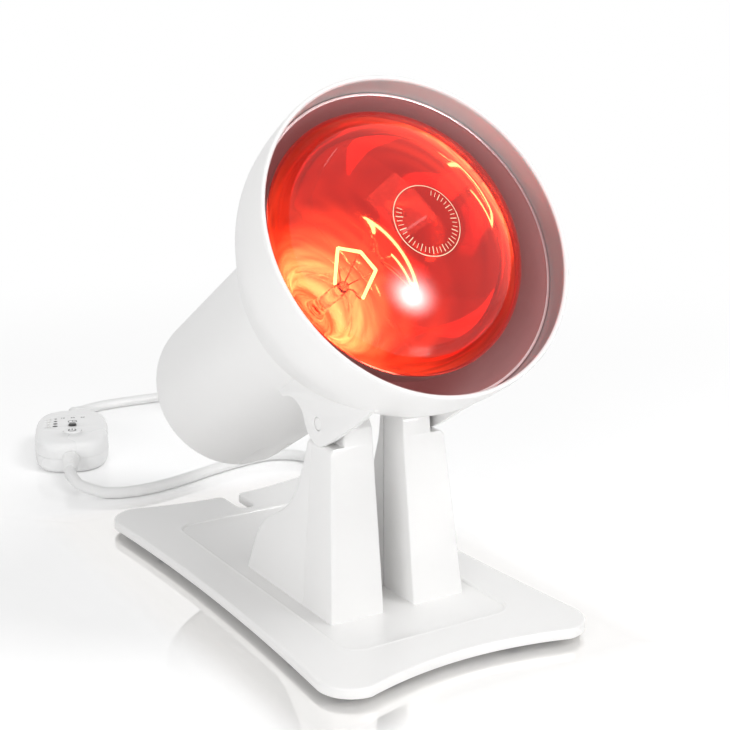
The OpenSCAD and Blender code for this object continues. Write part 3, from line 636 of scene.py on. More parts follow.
class HEATLAMP_OT_cords(bpy.types.Operator):
    """Lead from the post to the control, and mains lead from the control over its coil to the plug"""
    bl_idname = "heat_lamp.cords"
    bl_label = "Cords"

    def lead(self, name, pts, exit_point, far_end, nodes, with_nodes):
        curve = bpy.data.curves.new(name, "CURVE")
        curve.dimensions = "3D"
        spline = curve.splines.new("POLY")
        spline.points.add(len(pts) - 1)
        for q, p in zip(spline.points, pts):
            q.co = (p[0] * MM, (p[1] + MOVE_Y) * MM, p[2] * MM, 1)
        spline.use_smooth = True
        thick = sizes().cord_thickness
        curve.bevel_depth, curve.bevel_resolution, curve.use_fill_caps = thick / 2, 5, True
        obj = placed(name, curve)
        obj.data.materials.append(cord_jacket())
        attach(obj, "base")
        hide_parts(*nodes)

    def coil(self):
        """Six turns, two wide and three high, wound clockwise from the far side: radius from the middle, height."""
        pts = []
        turns = len(COIL_SLOTS)
        for k in range(1, int(turns * COIL_TURN / COIL_STEP) + 1):
            g = k * COIL_STEP
            i = min(int(g // COIL_TURN), turns - 1)
            a, b = COIL_SLOTS[i], COIL_SLOTS[min(i + 1, turns - 1)]
            t = max(0.0, (g - COIL_TURN * i - (COIL_TURN - COIL_CROSSING)) / COIL_CROSSING)
            t = t * t * (3 - 2 * t)
            r, z = a[0] + (b[0] - a[0]) * t, a[1] + (b[1] - a[1]) * t
            pts.append((*polar(r, math.radians(90 - g), *COIL_AT), z))
        return pts

    def execute(self, context):
        def relief_end(way, past, z):
            return control_point(0, way * (RELIEF_END + past), z)

        start, out = (24.5, 46.5, 17.0), relief_end(1, 0, 10.0)
        ends = [relief_end(-1, past, z) for past, z in ((7, 9.3), (1.5, 10.0), (0, 10.0))]
        lamp = [Vector(start), Vector((24.5, 48, 17))] + smooth(LAMP_LINE, 2) + [Vector(p) for p in ends]
        self.lead("lamp_lead", lamp, start, "fitting", ["lamp_cord"], ["relief_lamp_side"])
        mains = [Vector(out), Vector(relief_end(1, 1.5, 10.0))] + smooth([relief_end(1, 7, 9.3)] + MAINS_LINE, 2)
        mains += [Vector(p) for p in self.coil()]
        mains += smooth([mains[-1], *PLUG_LINE], 3)[1:] + [Vector(PLUG_AXIS)]
        self.lead("mains_lead", mains, out, "plug", ["mains_cord", "cord_coil"],
                  ["plug_body", "plug_blades", "cord_tie", "relief_mains_side"])
        return {"FINISHED"}


# ---------------------------------------------------------------- base
PLATE_BOTTOM, PLATE_TOP, RECESS_FLOOR = 3.4, 8.4, 7.6
RECESS_W, RECESS_D, RECESS_R, RECESS_Y = 92, 189, 9, -3.7
NOTCH_FLOOR = 104


def bowed(p, q, b, steps=24):
    """Points of a shallow arch from p to q, b high, without its ends."""
    p, q = Vector(p), Vector(q)
    u = (q - p).normalized()
    m = Vector((-u.y, u.x))
    return [p + (q - p) * (k / steps) + m * b * 4 * (k / steps) * (1 - k / steps) for k in range(1, steps)]


def base_outline():
    """Plan of the plate, counter-clockwise, with round corners, bowed sides and the notch in the rear edge."""
    x, y, r = BASE_W / 2 - CORNER_R, BASE_D / 2 - CORNER_R, CORNER_R

    def corner(cx, cy, a):
        return [Vector(polar(r, t, cx, cy)) for t in angles(a, a + 90, 12)]

    def edge_point(px):
        t = (x - px) / (2 * x)
        return (px, y + r - END_BOW * 4 * t * (1 - t))

    rear = bowed((x, y + r), (-x, y + r), END_BOW)
    notch = [edge_point(14), edge_point(8), (8, NOTCH_FLOOR), (-2, NOTCH_FLOOR), edge_point(-2), edge_point(-9)]
    bend = corner_points([Vector(p) for p in notch], [0, 3.2, 0, 0, 4.6, 0], 6)
    round_floor = [Vector(polar(5, a, 3, NOTCH_FLOOR)) for a in angles(-15, -165, 10)]
    i = min(range(len(bend)), key=lambda k: (bend[k] - Vector((8, NOTCH_FLOOR))).length)
    bend = bend[:i + 1] + round_floor + bend[i + 1:]
    pts = corner(x, -y, -90) + bowed((x + r, -y), (x + r, y), SIDE_BOW) + corner(x, y, 0)
    pts += [p for p in rear if p.x > 15] + bend + [p for p in rear if p.x < -10]
    pts += corner(-x, y, 90) + bowed((-x - r, y), (-x - r, -y), SIDE_BOW) + corner(-x, -y, 180)
    pts += bowed((-x, -y - r), (x, -y - r), END_BOW)
    clean = [pts[0]]
    for p in pts[1:]:
        if (p - clean[-1]).length > 0.05:
            clean.append(p)
    return clean


def recess(wider, rounder=0.0):
    return rounded_rect(RECESS_W + 2 * wider, RECESS_D + 2 * wider, RECESS_R + wider + rounder, 0, RECESS_Y)


class HEATLAMP_OT_base(bpy.types.Operator):
    """Base plate with its rounded edge, shallow recess and cord notch, its cover and feet"""
    bl_idname = "heat_lamp.base"
    bl_label = "Base"

    def execute(self, context):
        r, lip = sizes().base_edge / MM, sizes().recess_lip / MM
        plan = base_outline()
        rings = [at(inset(plan, 2.2), 4.9), at(inset(plan, 2.2), PLATE_BOTTOM), at(inset(plan, 0.45), PLATE_BOTTOM),
                 at(inset(plan, 0.12), PLATE_BOTTOM + 0.15), at(plan, PLATE_BOTTOM + 0.5)]
        for a in angles(0, 90, 6):
            rings.append(at(inset(plan, r * (1 - math.cos(a))), PLATE_TOP - r + r * math.sin(a)))
        bead = ((lip + 1.9, 0), (lip + 1.6, 0), (lip + 1.1, 0.24), (lip + 0.5, 0.3), (lip + 0.1, 0.1))
        well = [at(recess(wider), PLATE_TOP + rise) for wider, rise in bead]
        for a in angles(0, 90, 4):
            well.append(at(recess(lip * (1 - math.sin(a))), PLATE_TOP - lip * 0.7 * (1 - math.cos(a))))
        well += [at(recess(-0.15, 0.05), RECESS_FLOOR + 0.12), at(recess(-0.45, 0.05), RECESS_FLOOR)]
        shell = stacked("base_shell", [rings, well], [[(0, 0)], [(0, -1), (1, 0)], [(1, -1)]], smooth_angle=50)
        finish_piece(shell, white_plastic(), "base", "white_plastic", "base_top")
        finish_nodes(plastic("Cover plastic", tinted(colours().plastic, 0.93), 0.5, 900.0, 0.1), "base_cover")
        finish_nodes(plastic("Foot rubber", colours().rubber, 0.62, 700.0, 0.2), "rubber_feet")
        finish_nodes(metal("Ballast steel", tinted(colours().steel, 0.7), 0.42), "ballast_plate")
        return {"FINISHED"}


# ---------------------------------------------------------------- posts
REAR_LINE = [(21.8, 7.6), (19.6, 12.8), (17.4, 18.3), (14.9, 24.4), (12.8, 29.1), (9.3, 34), (4.2, 38.7),
             (-2.8, 43.2), (-11.3, 48), (-17, 52.6), (-21.3, 57.2), (-24.8, 62.3), (-27.4, 68.7), (-29.4, 74.7), (-31.4, 80.9),
             (-33.4, 86.6), (-34.4, 91.3), (-35.4, 97.5), (-38.4, 103.6), (-42, 106.5), (-46, 107.6), (-50.3, 106.3),
             (-54, 103.3), (-57, 99.0)]
POST_IN, POST_OUT, POST_OUT_TOP, POST_TOP, TONGUE = 8.6, 38.3, 32.5, 107.55, 24.8
FOOT_Z, SHOULDER, SHOULDER_R = 7.6, 91.2, 3
FRONT_FOOT_Y, FRONT_TOP_Y, FRONT_TOP_Z = -68.2, -57, 99.0
SEAM_Y, SEAM_WEDGE = -40.0, 0.45  # the seam opens by the wedge towards a post's inner face


class HEATLAMP_OT_posts(bpy.types.Operator):
    """Two hollow posts, each of a front and a rear shell with the seam between them"""
    bl_idname = "heat_lamp.posts"
    bl_label = "Posts"

    def levels(self):
        """Heights of the rings with the post's outer side at each: leaning flank, round shoulder, narrow tongue."""
        out = []
        z, flank_top = FOOT_Z, SHOULDER - SHOULDER_R
        while z < flank_top - 0.01:
            out.append((z, POST_OUT + (POST_OUT_TOP - POST_OUT) * (z - FOOT_Z) / (flank_top - FOOT_Z)))
            z += 1.6
        for a in angles(0, 90, 6):
            out.append((flank_top + SHOULDER_R * math.sin(a), POST_OUT_TOP - SHOULDER_R + SHOULDER_R * math.cos(a)))
        out += [(SHOULDER + 0.001, TONGUE + 0.5), (SHOULDER + 0.15, TONGUE + 0.15), (SHOULDER + 0.5, TONGUE)]
        z = SHOULDER + 1.5
        while z < 106.9:
            out.append((z, TONGUE))
            z += 0.8
        return out

    def execute(self, context):
        line = smooth(REAR_LINE, 6)
        top = max(range(len(line)), key=lambda k: line[k].y)
        rear, front = line[:top + 1], line[top:]

        def on(points, z):
            for a, b in zip(points, points[1:]):
                if min(a.y, b.y) - 1e-6 <= z <= max(a.y, b.y) + 1e-6 and abs(a.y - b.y) > 1e-9:
                    return a.x + (b.x - a.x) * (z - a.y) / (b.y - a.y)
            return points[-1].x

        def y_front(z):
            if z > FRONT_TOP_Z:
                return on(front, z)
            return FRONT_FOOT_Y + (z - FOOT_Z) * (FRONT_TOP_Y - FRONT_FOOT_Y) / (FRONT_TOP_Z - FOOT_Z)

        seam = sizes().seam / MM / 2
        fr, rr = sizes().post_front_edge / MM, sizes().post_rear_edge / MM
        for side, sx in (("left", -1), ("right", 1)):
            for half in ("front", "rear"):
                rings = []
                for z, xo in self.levels():
                    y0, y1, back0, back1 = y_front(z), on(rear, z), 0, 0
                    if half == "front":
                        y1 = min(SEAM_Y - seam, y1)
                        radii = [fr, fr, 0.1, 0.2]
                        back1 = SEAM_WEDGE if y1 > SEAM_Y - 1 else 0
                    else:
                        y0 = max(SEAM_Y + seam, y0)
                        radii = [0.2, 0.1, rr, rr]
                        back0 = SEAM_WEDGE if y0 < SEAM_Y + 1 else 0
                    if y1 - y0 < 0.9:
                        break
                    widest = min(xo - POST_IN, y1 - y0) * 0.45
                    corners = [Vector(p) for p in ((POST_IN, y0 + back0), (xo, y0), (xo, y1), (POST_IN, y1 - back1))]
                    shape = corner_points(corners, [min(q, widest) for q in radii], 5)
                    rings.append([(sx * p.x, p.y, z) for p in shape])
                last = rings[-1]
                mx, my, _ = (sum(c) / len(last) for c in zip(*last))
                for f, dz in ((0.7, 0.35), (0.3, 0.5)):
                    z = min(last[0][2] + dz, POST_TOP)
                    rings.append([(mx + (x - mx) * f, my + (y - my) * f, z) for x, y, _ in last])
                obj = loft(f"post_{half}_shell_{side}", rings, smooth_angle=42)
                finish_piece(obj, white_plastic(), "base", "white_plastic", f"post_{half}_{side}")
        return {"FINISHED"}


# ---------------------------------------------------------------- head
SHADE_OUT = [(78.6, -2), (78.7, -6), (78.6, -14), (78, -23), (76.8, -31.5), (74.4, -39.6), (71.3, -47), (67.4, -56),
             (63.2, -65), (58.9, -73), (54.4, -80.5), (49.9, BODY_FRONT)]
SHADE_LIP = [(76.0, -2.6), (76.05, -1.5), (76.35, -0.7), (76.9, -0.15), (77.4, 0.0), (77.9, -0.15), (78.35, -0.7)]
BODY_TAIL = [(46.4, -226), (45.9, -230), (44.2, -233.2), (41, -235.4), (36.5, BODY_REAR)]
POCKET_HALF, POCKET_NEAR, POCKET_FAR = 10.6, -185.7, -231.8


def body_radius(z):
    return 47.7 + (46.4 - 47.7) * (z - BODY_FRONT) / (-228 - BODY_FRONT)


class HEATLAMP_OT_housing(bpy.types.Operator):
    """Bell shade with its rolled lip, the liner inside it, and the rear body with its pocket and air slots"""
    bl_idname = "heat_lamp.housing"
    bl_label = "Housing"

    def execute(self, context):
        outer = smooth(SHADE_OUT, 6)
        inner = [(p.x - 2.5, p.y) for p in outer if -84 < p.y < -3][::-1]
        end = [(49.9, BODY_FRONT + 0.35), (49.6, BODY_FRONT), (40, BODY_FRONT), (40, BODY_FRONT + 2.5),
               (46.6, BODY_FRONT + 2.5)]
        outline = SHADE_LIP + [(p.x, p.y) for p in outer[:-1]] + end + inner
        shell = turned("shade_shell", outline, 192, head_point, 40)
        finish_piece(shell, self.shade_plastic(), "head", "white_plastic", "shade")

        lo = [(p.x - 2.8, p.y) for p in outer if -80.5 < p.y < -13.2]
        li = [(p.x - 3.6, p.y) for p in outer if -79 < p.y < -13.2][::-1]
        r = li[-1][0]
        front = [(r - 0.45, -13.3), (r - 0.5, -12.95), (r - 0.1, -12.75), (lo[0][0] - 0.1, -12.8)]
        liner = turned("shade_lining", front + lo + [(40, -81), (40, -80.2), (47, -80.2)] + li, 192, head_point, 40)
        finish_piece(liner, self.liner_metal(), "head", "liner_metal", "shade_liner")

        r = body_radius(BODY_FRONT)
        out = [(r - 0.3, BODY_FRONT), (r, BODY_FRONT - 0.35)] + [(body_radius(z), z) for z in range(-96, -226, -10)]
        out += [(p.x, p.y) for p in smooth(BODY_TAIL, 6)] + [(18, BODY_REAR), (0, BODY_REAR)]
        inside = [(0, BODY_REAR + 2.4), (34, BODY_REAR + 2.4), (41.5, -230), (44, -224),
                  (body_radius(-100) - 2.4, -100), (r - 2.4, BODY_FRONT - 2.4), (40, BODY_FRONT - 2.4), (40, BODY_FRONT)]
        body = turned("rear_housing", out + inside, 160, head_point, 35)
        cut(body, self.slot_cutters())
        cut(body, self.pocket_cutter())
        finish_piece(body, white_plastic(), "head", "white_plastic", "rear_body")
        return {"FINISHED"}

    def shade_plastic(self):
        """White plastic, grey like the liner on the inner side of the lip, where painted shade darkens it towards the
        bottom.
        """
        mat = plastic("Shade plastic", colours().plastic, 0.27, 1500.0, 0.03)
        tree = mat.node_tree
        shader = tree.nodes["Principled BSDF"]
        own = shader.inputs["Base Color"].links[0].from_socket
        place = object_place(tree)
        mouth, axis = (Vector(head_point(0, 0, 0)) + Vector((0, MOVE_Y, 0))) * MM, head_direction(0, 0, 1)
        apart = vector(tree, "SUBTRACT", place, mouth)
        deep = vector(tree, "DOT_PRODUCT", apart, axis, out="Value")
        radius = vector(tree, "LENGTH", vector(tree, "CROSS_PRODUCT", apart, axis), out="Value")
        mask = 1.0
        for source, lo, hi in ((radius, 0.0770, 0.0767), (deep, -0.0008, -0.0016), (deep, -0.017, -0.015)):
            mask = maths(tree, "MULTIPLY", mask, ranged(tree, source, lo, hi))
        # Painted shade: the inner lip is darker at the bottom and a cooler grey at the top, which offsets the bulb's
        # red light on it.
        height = add(tree, "ShaderNodeSeparateXYZ", {0: place}, "Z")
        painted_shade_low, high = (*tinted(colours().liner, 0.62), 1), (0.50, 0.62, 0.62, 1)
        inside = blend(tree, ranged(tree, height, 0.19, 0.25), painted_shade_low, high)
        feed(tree, shader, {"Base Color": blend(tree, mask, own, inside)})
        return mat

    def liner_metal(self):
        c = colours().liner
        mat = surfaced("Shade lining", metal_group(), c, tinted(c, 0.93), 0.3, 120.0, 0.01, 0.5)
        # Painted red glow: a faint emission stands for the bulb's red light falling on the liner.
        feed(mat.node_tree, mat.node_tree.nodes["Principled BSDF"],
             {"Emission Color": (0.9, 0.2, 0.2, 1), "Emission Strength": 0.12})
        return mat

    def slot_cutters(self):
        """Geometry Nodes: a row of bars, longer in the middle, laid through the rear wall."""
        numbers = [("Pitch", 11.0), ("Width", 3.2), ("Longest", 44.0), ("Shorter by", 6.0)]
        tree, given, result = geometry_group("Air slots", numbers, takes_mesh=False)
        count = 5
        step = combined(tree, given["Pitch"])
        line = add(tree, "GeometryNodeMeshLine", {
            "Count": count, "Offset": step, "Start Location": scaled(tree, step, (1 - count) / 2)},
            mode="OFFSET", count_mode="TOTAL")
        bar = add(tree, "GeometryNodeMeshCube", {"Size": combined(tree, given["Width"], 1.0, 8.0)})
        index = add(tree, "GeometryNodeInputIndex")
        off = maths(tree, "ABSOLUTE", maths(tree, "SUBTRACT", index, (count - 1) / 2))
        long = maths(tree, "SUBTRACT", given["Longest"], maths(tree, "MULTIPLY", off, given["Shorter by"]))
        row = add(tree, "GeometryNodeInstanceOnPoints", {
            "Points": line, "Instance": bar, "Scale": combined(tree, 1.0, long, 1.0)})
        deliver(tree, row, white_plastic(), result)
        obj = grown("slot_bars", tree)
        obj.data.transform(Matrix.Scale(MM, 4))
        s, c = math.sin(HEAD_TILT), math.cos(HEAD_TILT)
        turn = Matrix(((1, 0, 0, 0), (0, s, -c, 0), (0, c, s, 0), (0, 0, 0, 1)))
        obj.data.transform(Matrix.Translation(Vector(head_point(0, 0, BODY_REAR)) * MM) @ turn)
        return obj

    def pocket_cutter(self):
        """Round-ended bar that leaves a shallow pocket in the underside, a little narrower at its floor."""
        half, middle = POCKET_HALF, (POCKET_NEAR + POCKET_FAR) / 2
        ring = [polar(half, a, 0, POCKET_NEAR - half) for a in angles(0, 180, 16)]
        ring += [polar(half, a, 0, POCKET_FAR + half) for a in angles(180, 360, 16)]
        deep = body_radius(-208) - 1.9
        rings = [[(x * f, -d, middle + (z - middle) * g) for x, z in ring]
                 for d, f, g in ((deep, 0.97, 0.98), (deep + 0.2, 1.0, 1.0), (60.0, 1.0, 1.0))]
        return loft("pocket_bar", rings, head_point)


EAR_LINE = [(-97.6, 119.8), (-93.4, 118.6), (-82.3, 110.3), (-71.7, 103.9), (-65.3, 99.8), (-57.9, 95.2)]
EAR_REAR = [(-36.7, 94.2), (-34, 98.2), (-31.2, 103.5), (-27.3, 106.7), (-22.3, 108.5), (-17.2, 108.3), (-11, 106.6)]
EAR_TOP = [(-2, 112), (-3, 127), (-30, 140), (-60, 150), (-96, 136)]
EAR_IN, EAR_OUT, EAR_TIP_R = 29.5, 32.5, 10.9
CAP_X, CAP_SEAT = 31.5, 31.4
CAP = [(0, 0), (3.1, 0), (3.1, 0.45), (2.95, 0.68), (2.4, 0.85), (1.2, 0.93), (0, 0.95)]


class HEATLAMP_OT_yoke(bpy.types.Operator):
    """The two ears that hang the head on its pivots, with their cover caps"""
    bl_idname = "heat_lamp.yoke"
    bl_label = "Yoke"

    def execute(self, context):
        tip = [polar(EAR_TIP_R, a, *PIVOT) for a in angles(246, 310, 8)]
        line = [tuple(p) for p in smooth(EAR_LINE, 4)][:-1] + [EAR_LINE[-1]] + tip
        line += [tuple(p) for p in smooth(EAR_REAR, 4)] + EAR_TOP
        core = [(0, 0.5), (78.4, 0.5)] + [(p.x - 0.5, p.y) for p in smooth(SHADE_OUT, 4)]
        core += [(body_radius(BODY_FRONT) - 0.5, BODY_FRONT), (body_radius(-200) - 0.5, -200), (0, -200)]
        caps = []
        for side, sx in (("left", -1), ("right", 1)):
            ear = loft(f"yoke_ear_{side}", [[(sx * x, y, z) for y, z in line] for x in (EAR_IN, EAR_OUT)])
            cut(ear, turned("head_core", core, 96, head_point))
            seat = [[(sx * x, *polar(3.5, 2 * math.pi * k / 48, *PIVOT)) for k in range(48)] for x in (CAP_SEAT, 34)]
            cut(ear, loft("cap_seat", seat))
            bevelled(ear, sizes().ear_edge, 3, 55, 40)
            finish_piece(ear, white_plastic(), "head", "white_plastic", f"ear_{side}")

            def on_side(x, y, z, sx=sx):
                return (sx * (CAP_X + z), PIVOT[0] + x, PIVOT[1] + y)
            caps.append(turned("cap", CAP, 48, on_side, 30))
        finish_piece(joined("pivot_cap_pair", caps), white_plastic(), "head", "white_plastic", "pivot_caps")
        finish_nodes(steel(), "pivot_screws", "pivot_nuts", "ear_screws", "shade_screws")
        finish_nodes(plastic("Friction washer", (0.12, 0.12, 0.12), 0.55, 800.0, 0.1), "friction_washers")
        return {"FINISHED"}


# ---------------------------------------------------------------- bulb
FACE_Z, BULB_R, DOME, GLASS_WALL, BOWL_WALL = -20.0, 65.0, 27.0, 1.4, 1.2
BOWL = [(65, FACE_Z), (65, -25), (63.7, -32), (60.9, -40), (56.2, -49), (50, -58.5), (42.8, -68), (35.9, -77.5),
        (29.8, -87.5), (25, -97), (21.6, -107), (19, -117), (16.6, -127), (14.4, -135.5), (13.4, -141.5)]
FILAMENT = [(x, y, -62.0) for x, y in ((-12.9, -2.8), (-5.7, 15.2), (6.3, 12), (11.8, 1.9), (0.1, -11.5))]
# Colours of the painted glow in the bulb's silvering, from the rim to the neck.
PAINTED_GLOW_STOPS = ((0.0, (0.0, 0.0, 0.0)), (0.3, (0.03, 0.02, 0.01)), (0.5, (0.18, 0.14, 0.06)),
              (0.66, (0.66, 0.58, 0.28)), (0.8, (1.3, 1.15, 0.55)))
STAMP_MIDDLE, STAMP_R = (0.9, -0.8), 17.0


def dome_z(x, y):
    return FACE_Z + DOME * math.sqrt(max(0.0, 1 - (x * x + y * y) / BULB_R ** 2))


class HEATLAMP_OT_bulb(bpy.types.Operator):
    """Reflector bulb: red glass face, silvered bowl, coiled filament on its supports, stem and screw cap"""
    bl_idname = "heat_lamp.bulb"
    bl_label = "Bulb"

    def execute(self, context):
        def dome(wall):
            curve = [((BULB_R - wall) * math.cos(a), FACE_Z + (DOME - wall) * math.sin(a)) for a in angles(0, 90, 28)]
            return curve[:-1] + [(0, FACE_Z + DOME - wall)]

        face = turned("bulb_front", dome(0) + dome(GLASS_WALL)[::-1], 160, bulb_point, 60)
        finish_piece(face, self.red_glass(), "head", "red_glass", "bulb_face")
        curve = [(p.x, p.y) for p in smooth(BOWL, 5)]
        inner = [(r - BOWL_WALL, z) for r, z in curve][::-1]
        bowl = turned("bulb_bowl", curve + inner, 160, bulb_point, 60)
        finish_piece(bowl, self.mirror(), "head", "silvered_glass", "bulb_reflector")
        self.filament()
        self.stamp()
        finish_nodes(self.clear_glass(), "bulb_stem")
        finish_nodes(metal("Nickel wire", (0.72, 0.68, 0.6), 0.2), "bulb_supports")
        finish_nodes(metal("Bulb cap metal", (0.8, 0.8, 0.79), 0.22), "bulb_cap")
        finish_nodes(plastic("Cap glass", (0.02, 0.02, 0.025), 0.12, 300.0, 0.0), "cap_insulator")
        finish_nodes(metal("Solder", (0.62, 0.62, 0.62), 0.38), "cap_tip")
        return {"FINISHED"}

    def red_glass(self):
        mat, tree, shader = material("Red bulb glass")
        ripple = noise(tree, object_place(tree), 14.0, 2.0, 0.6)
        c = colours().glass
        feed(tree, shader, {
            "Base Color": blend(tree, ripple, (*c, 1), (c[0] * 0.93, c[1] * 0.55, c[2] * 0.6, 1)),
            "Normal": relief(tree, ripple, 0.08, 0.0008), "Transmission Weight": 1.0, "Roughness": 0.02, "IOR": 1.4,
            "Emission Color": (1.0, 0.05, 0.03, 1), "Emission Strength": 0.06})
        return mat

    def mirror(self):
        """Silvering with a painted glow on its inner side, for the filament's light reflected in it: bright yellow
        rings at the neck, dark towards the rim.
        """
        mat, tree, shader = material("Bulb silvering")
        place = object_place(tree)
        middle = (Vector(bulb_point(0, 0, FACE_Z)) + Vector((0, MOVE_Y, 0))) * MM
        apart = vector(tree, "SUBTRACT", place, middle)
        deep = vector(tree, "DOT_PRODUCT", apart, head_direction(0, 0, 1), out="Value")
        sideways = head_direction(0, 1, 0) + Vector((0.5, 0, 0))
        high = vector(tree, "DOT_PRODUCT", apart, sideways, out="Value")
        reach = ranged(tree, maths(tree, "MULTIPLY_ADD", high, 0.28, deep), 0.0, -0.12)
        glow = add(tree, "ShaderNodeValToRGB", {"Fac": reach}, "Color")
        ramp = glow.node.color_ramp
        while len(ramp.elements) < len(PAINTED_GLOW_STOPS):
            ramp.elements.new(0.5)
        for e, (position, c) in zip(ramp.elements, PAINTED_GLOW_STOPS):
            e.position, e.color = position, (*c, 1)
        normal = add(tree, "ShaderNodeTexCoord", out="Normal")
        inner = maths(tree, "LESS_THAN", vector(tree, "DOT_PRODUCT", normal, apart, out="Value"), 0.0)
        # Painted reflection: rings of brighter and dimmer glow along the bowl, on its inner side only.
        wave = maths(tree, "SINE", maths(tree, "MULTIPLY", deep, 430.0))
        painted_glow_weight = maths(tree, "MULTIPLY", ranged(tree, wave, -1.0, 0.8, 0.62, 1.35), inner)
        feed(tree, shader, {
            "Base Color": (*colours().mirror, 1), "Metallic": 1.0,
            "Roughness": ranged(tree, noise(tree, place, 60.0, 3.0), 0.0, 1.0, 0.03, 0.08),
            "Emission Color": scaled(tree, glow, painted_glow_weight), "Emission Strength": 4.0})
        return mat

    def clear_glass(self):
        mat, tree, shader = material("Clear glass")
        seed = noise(tree, object_place(tree), 90.0, 1.0)
        feed(tree, shader, {"Base Color": (0.95, 0.97, 0.98, 1), "Normal": relief(tree, seed, 0.1, 0.0004),
                            "Transmission Weight": 1.0, "Roughness": 0.02, "IOR": 1.5})
        return mat

    def glowing(self):
        mat, tree, shader = material("Glowing filament")
        heat = noise(tree, object_place(tree), 40.0, 1.0)
        feed(tree, shader, {"Emission Color": blend(tree, heat, (*colours().glow, 1), (1.0, 0.9, 0.55, 1)),
                            "Emission Strength": 45.0, "Base Color": (0.6, 0.5, 0.35, 1), "Metallic": 1.0})
        return mat

    def filament(self):
        """Geometry Nodes: a fine coil that follows the filament's zigzag."""
        numbers = [("Coil radius", 0.00072), ("Wire radius", 0.0002), ("Turn angle", 1.05)]
        tree, given, result = geometry_group("Coil along a path", numbers)
        path = add(tree, "GeometryNodeMeshToCurve", {0: given["Geometry"]})
        fine = add(tree, "GeometryNodeResampleCurve", {"Curve": path, "Count": 1500})
        angle = maths(tree, "MULTIPLY", add(tree, "GeometryNodeInputIndex"), given["Turn angle"])
        normal, tangent = add(tree, "GeometryNodeInputNormal"), add(tree, "GeometryNodeInputTangent")
        across = vector(tree, "CROSS_PRODUCT", normal, tangent)
        swing = vector(tree, "ADD", *(scaled(tree, side, maths(tree, trig, angle))
                                      for trig, side in (("COSINE", normal), ("SINE", across))))
        coil = add(tree, "GeometryNodeSetPosition", {"Geometry": fine,
                                                     "Offset": scaled(tree, swing, given["Coil radius"])})
        ring = add(tree, "GeometryNodeCurvePrimitiveCircle", {"Resolution": 6, "Radius": given["Wire radius"]})
        skin = add(tree, "GeometryNodeCurveToMesh", {"Curve": coil, "Profile Curve": ring, "Fill Caps": True})
        glow = self.glowing()
        deliver(tree, skin, glow, result)
        obj = grown("filament_coil", tree, [bulb_point(*p) for p in FILAMENT],
                    [(i, i + 1) for i in range(len(FILAMENT) - 1)], {"Coil radius": sizes().filament_coil}, 60)
        finish_piece(obj, glow, "head", "filament", "bulb_filament")

    def stamp(self):
        """Bare rating ring: a thin circle and plain ticks, laid on the dome."""
        (cx, cy), rise = STAMP_MIDDLE, sizes().print_rise / MM
        verts, faces = [], []

        def strip(path, half, closed):
            base, m = len(verts), len(path)
            for (x, y), (nx, ny) in path:
                for s in (-half, half):
                    px, py = x + nx * s, y + ny * s
                    verts.extend((px, py, dome_z(px, py) + lift) for lift in (0.01, 0.01 + rise))
            for i in range(m if closed else m - 1):
                a, b = base + 4 * i, base + 4 * ((i + 1) % m)
                faces.extend([[a + 1, a + 3, b + 3, b + 1], [a, b, b + 2, a + 2], [a, a + 1, b + 1, b],
                              [a + 2, b + 2, b + 3, a + 3]])
            if not closed:
                a, b = base, base + 4 * (m - 1)
                faces.extend([[a, a + 2, a + 3, a + 1], [b, b + 1, b + 3, b + 2]])

        turns = [2 * math.pi * k / 96 for k in range(96)]
        strip([(polar(STAMP_R, t, cx, cy), polar(1, t)) for t in turns], 0.2, True)
        for k in [*range(-5, 9), *range(19, 40)]:
            t = math.radians(8 * k)
            r0, r1, half = (13.0, 15.6, 0.14) if k % 3 else (12.4, 15.9, 0.2)
            strip([(polar(r, t, cx, cy), (-math.sin(t), math.cos(t))) for r in (r0, (r0 + r1) / 2, r1)], half, False)
        obj = build("rating_ring", verts, faces, bulb_point, 0)
        finish_piece(obj, plastic("Stamp ink", (0.95, 0.66, 0.45), 0.5, 400.0, 0.0), "head", "white_plastic")


# ---------------------------------------------------------------- lampholder and wiring
class HEATLAMP_OT_lampholder(bpy.types.Operator):
    """Finishes of the lampholder, its bar and fixings, and the wires inside the housing"""
    bl_idname = "heat_lamp.lampholder"
    bl_label = "Lampholder and wiring"

    def execute(self, context):
        finish_nodes(plastic("Ceramic", colours().ceramic, 0.38, 500.0, 0.2), "lampholder")
        finish_nodes(brass(), "holder_shell", "centre_contact", "holder_terminals")
        finish_nodes(steel(), "holder_screws", "holder_bar", "holder_bar_screws", "cord_clamp")
        finish_nodes(plastic("Wire insulation", (0.8, 0.8, 0.78), 0.45, 900.0, 0.05), "post_wires", "head_wires")
        finish_nodes(cord_jacket(), "lamp_relief")
        return {"FINISHED"}


# ---------------------------------------------------------------- screws from below
SCREW = ("Head radius", "Head height", "Shank radius", "Shank length")


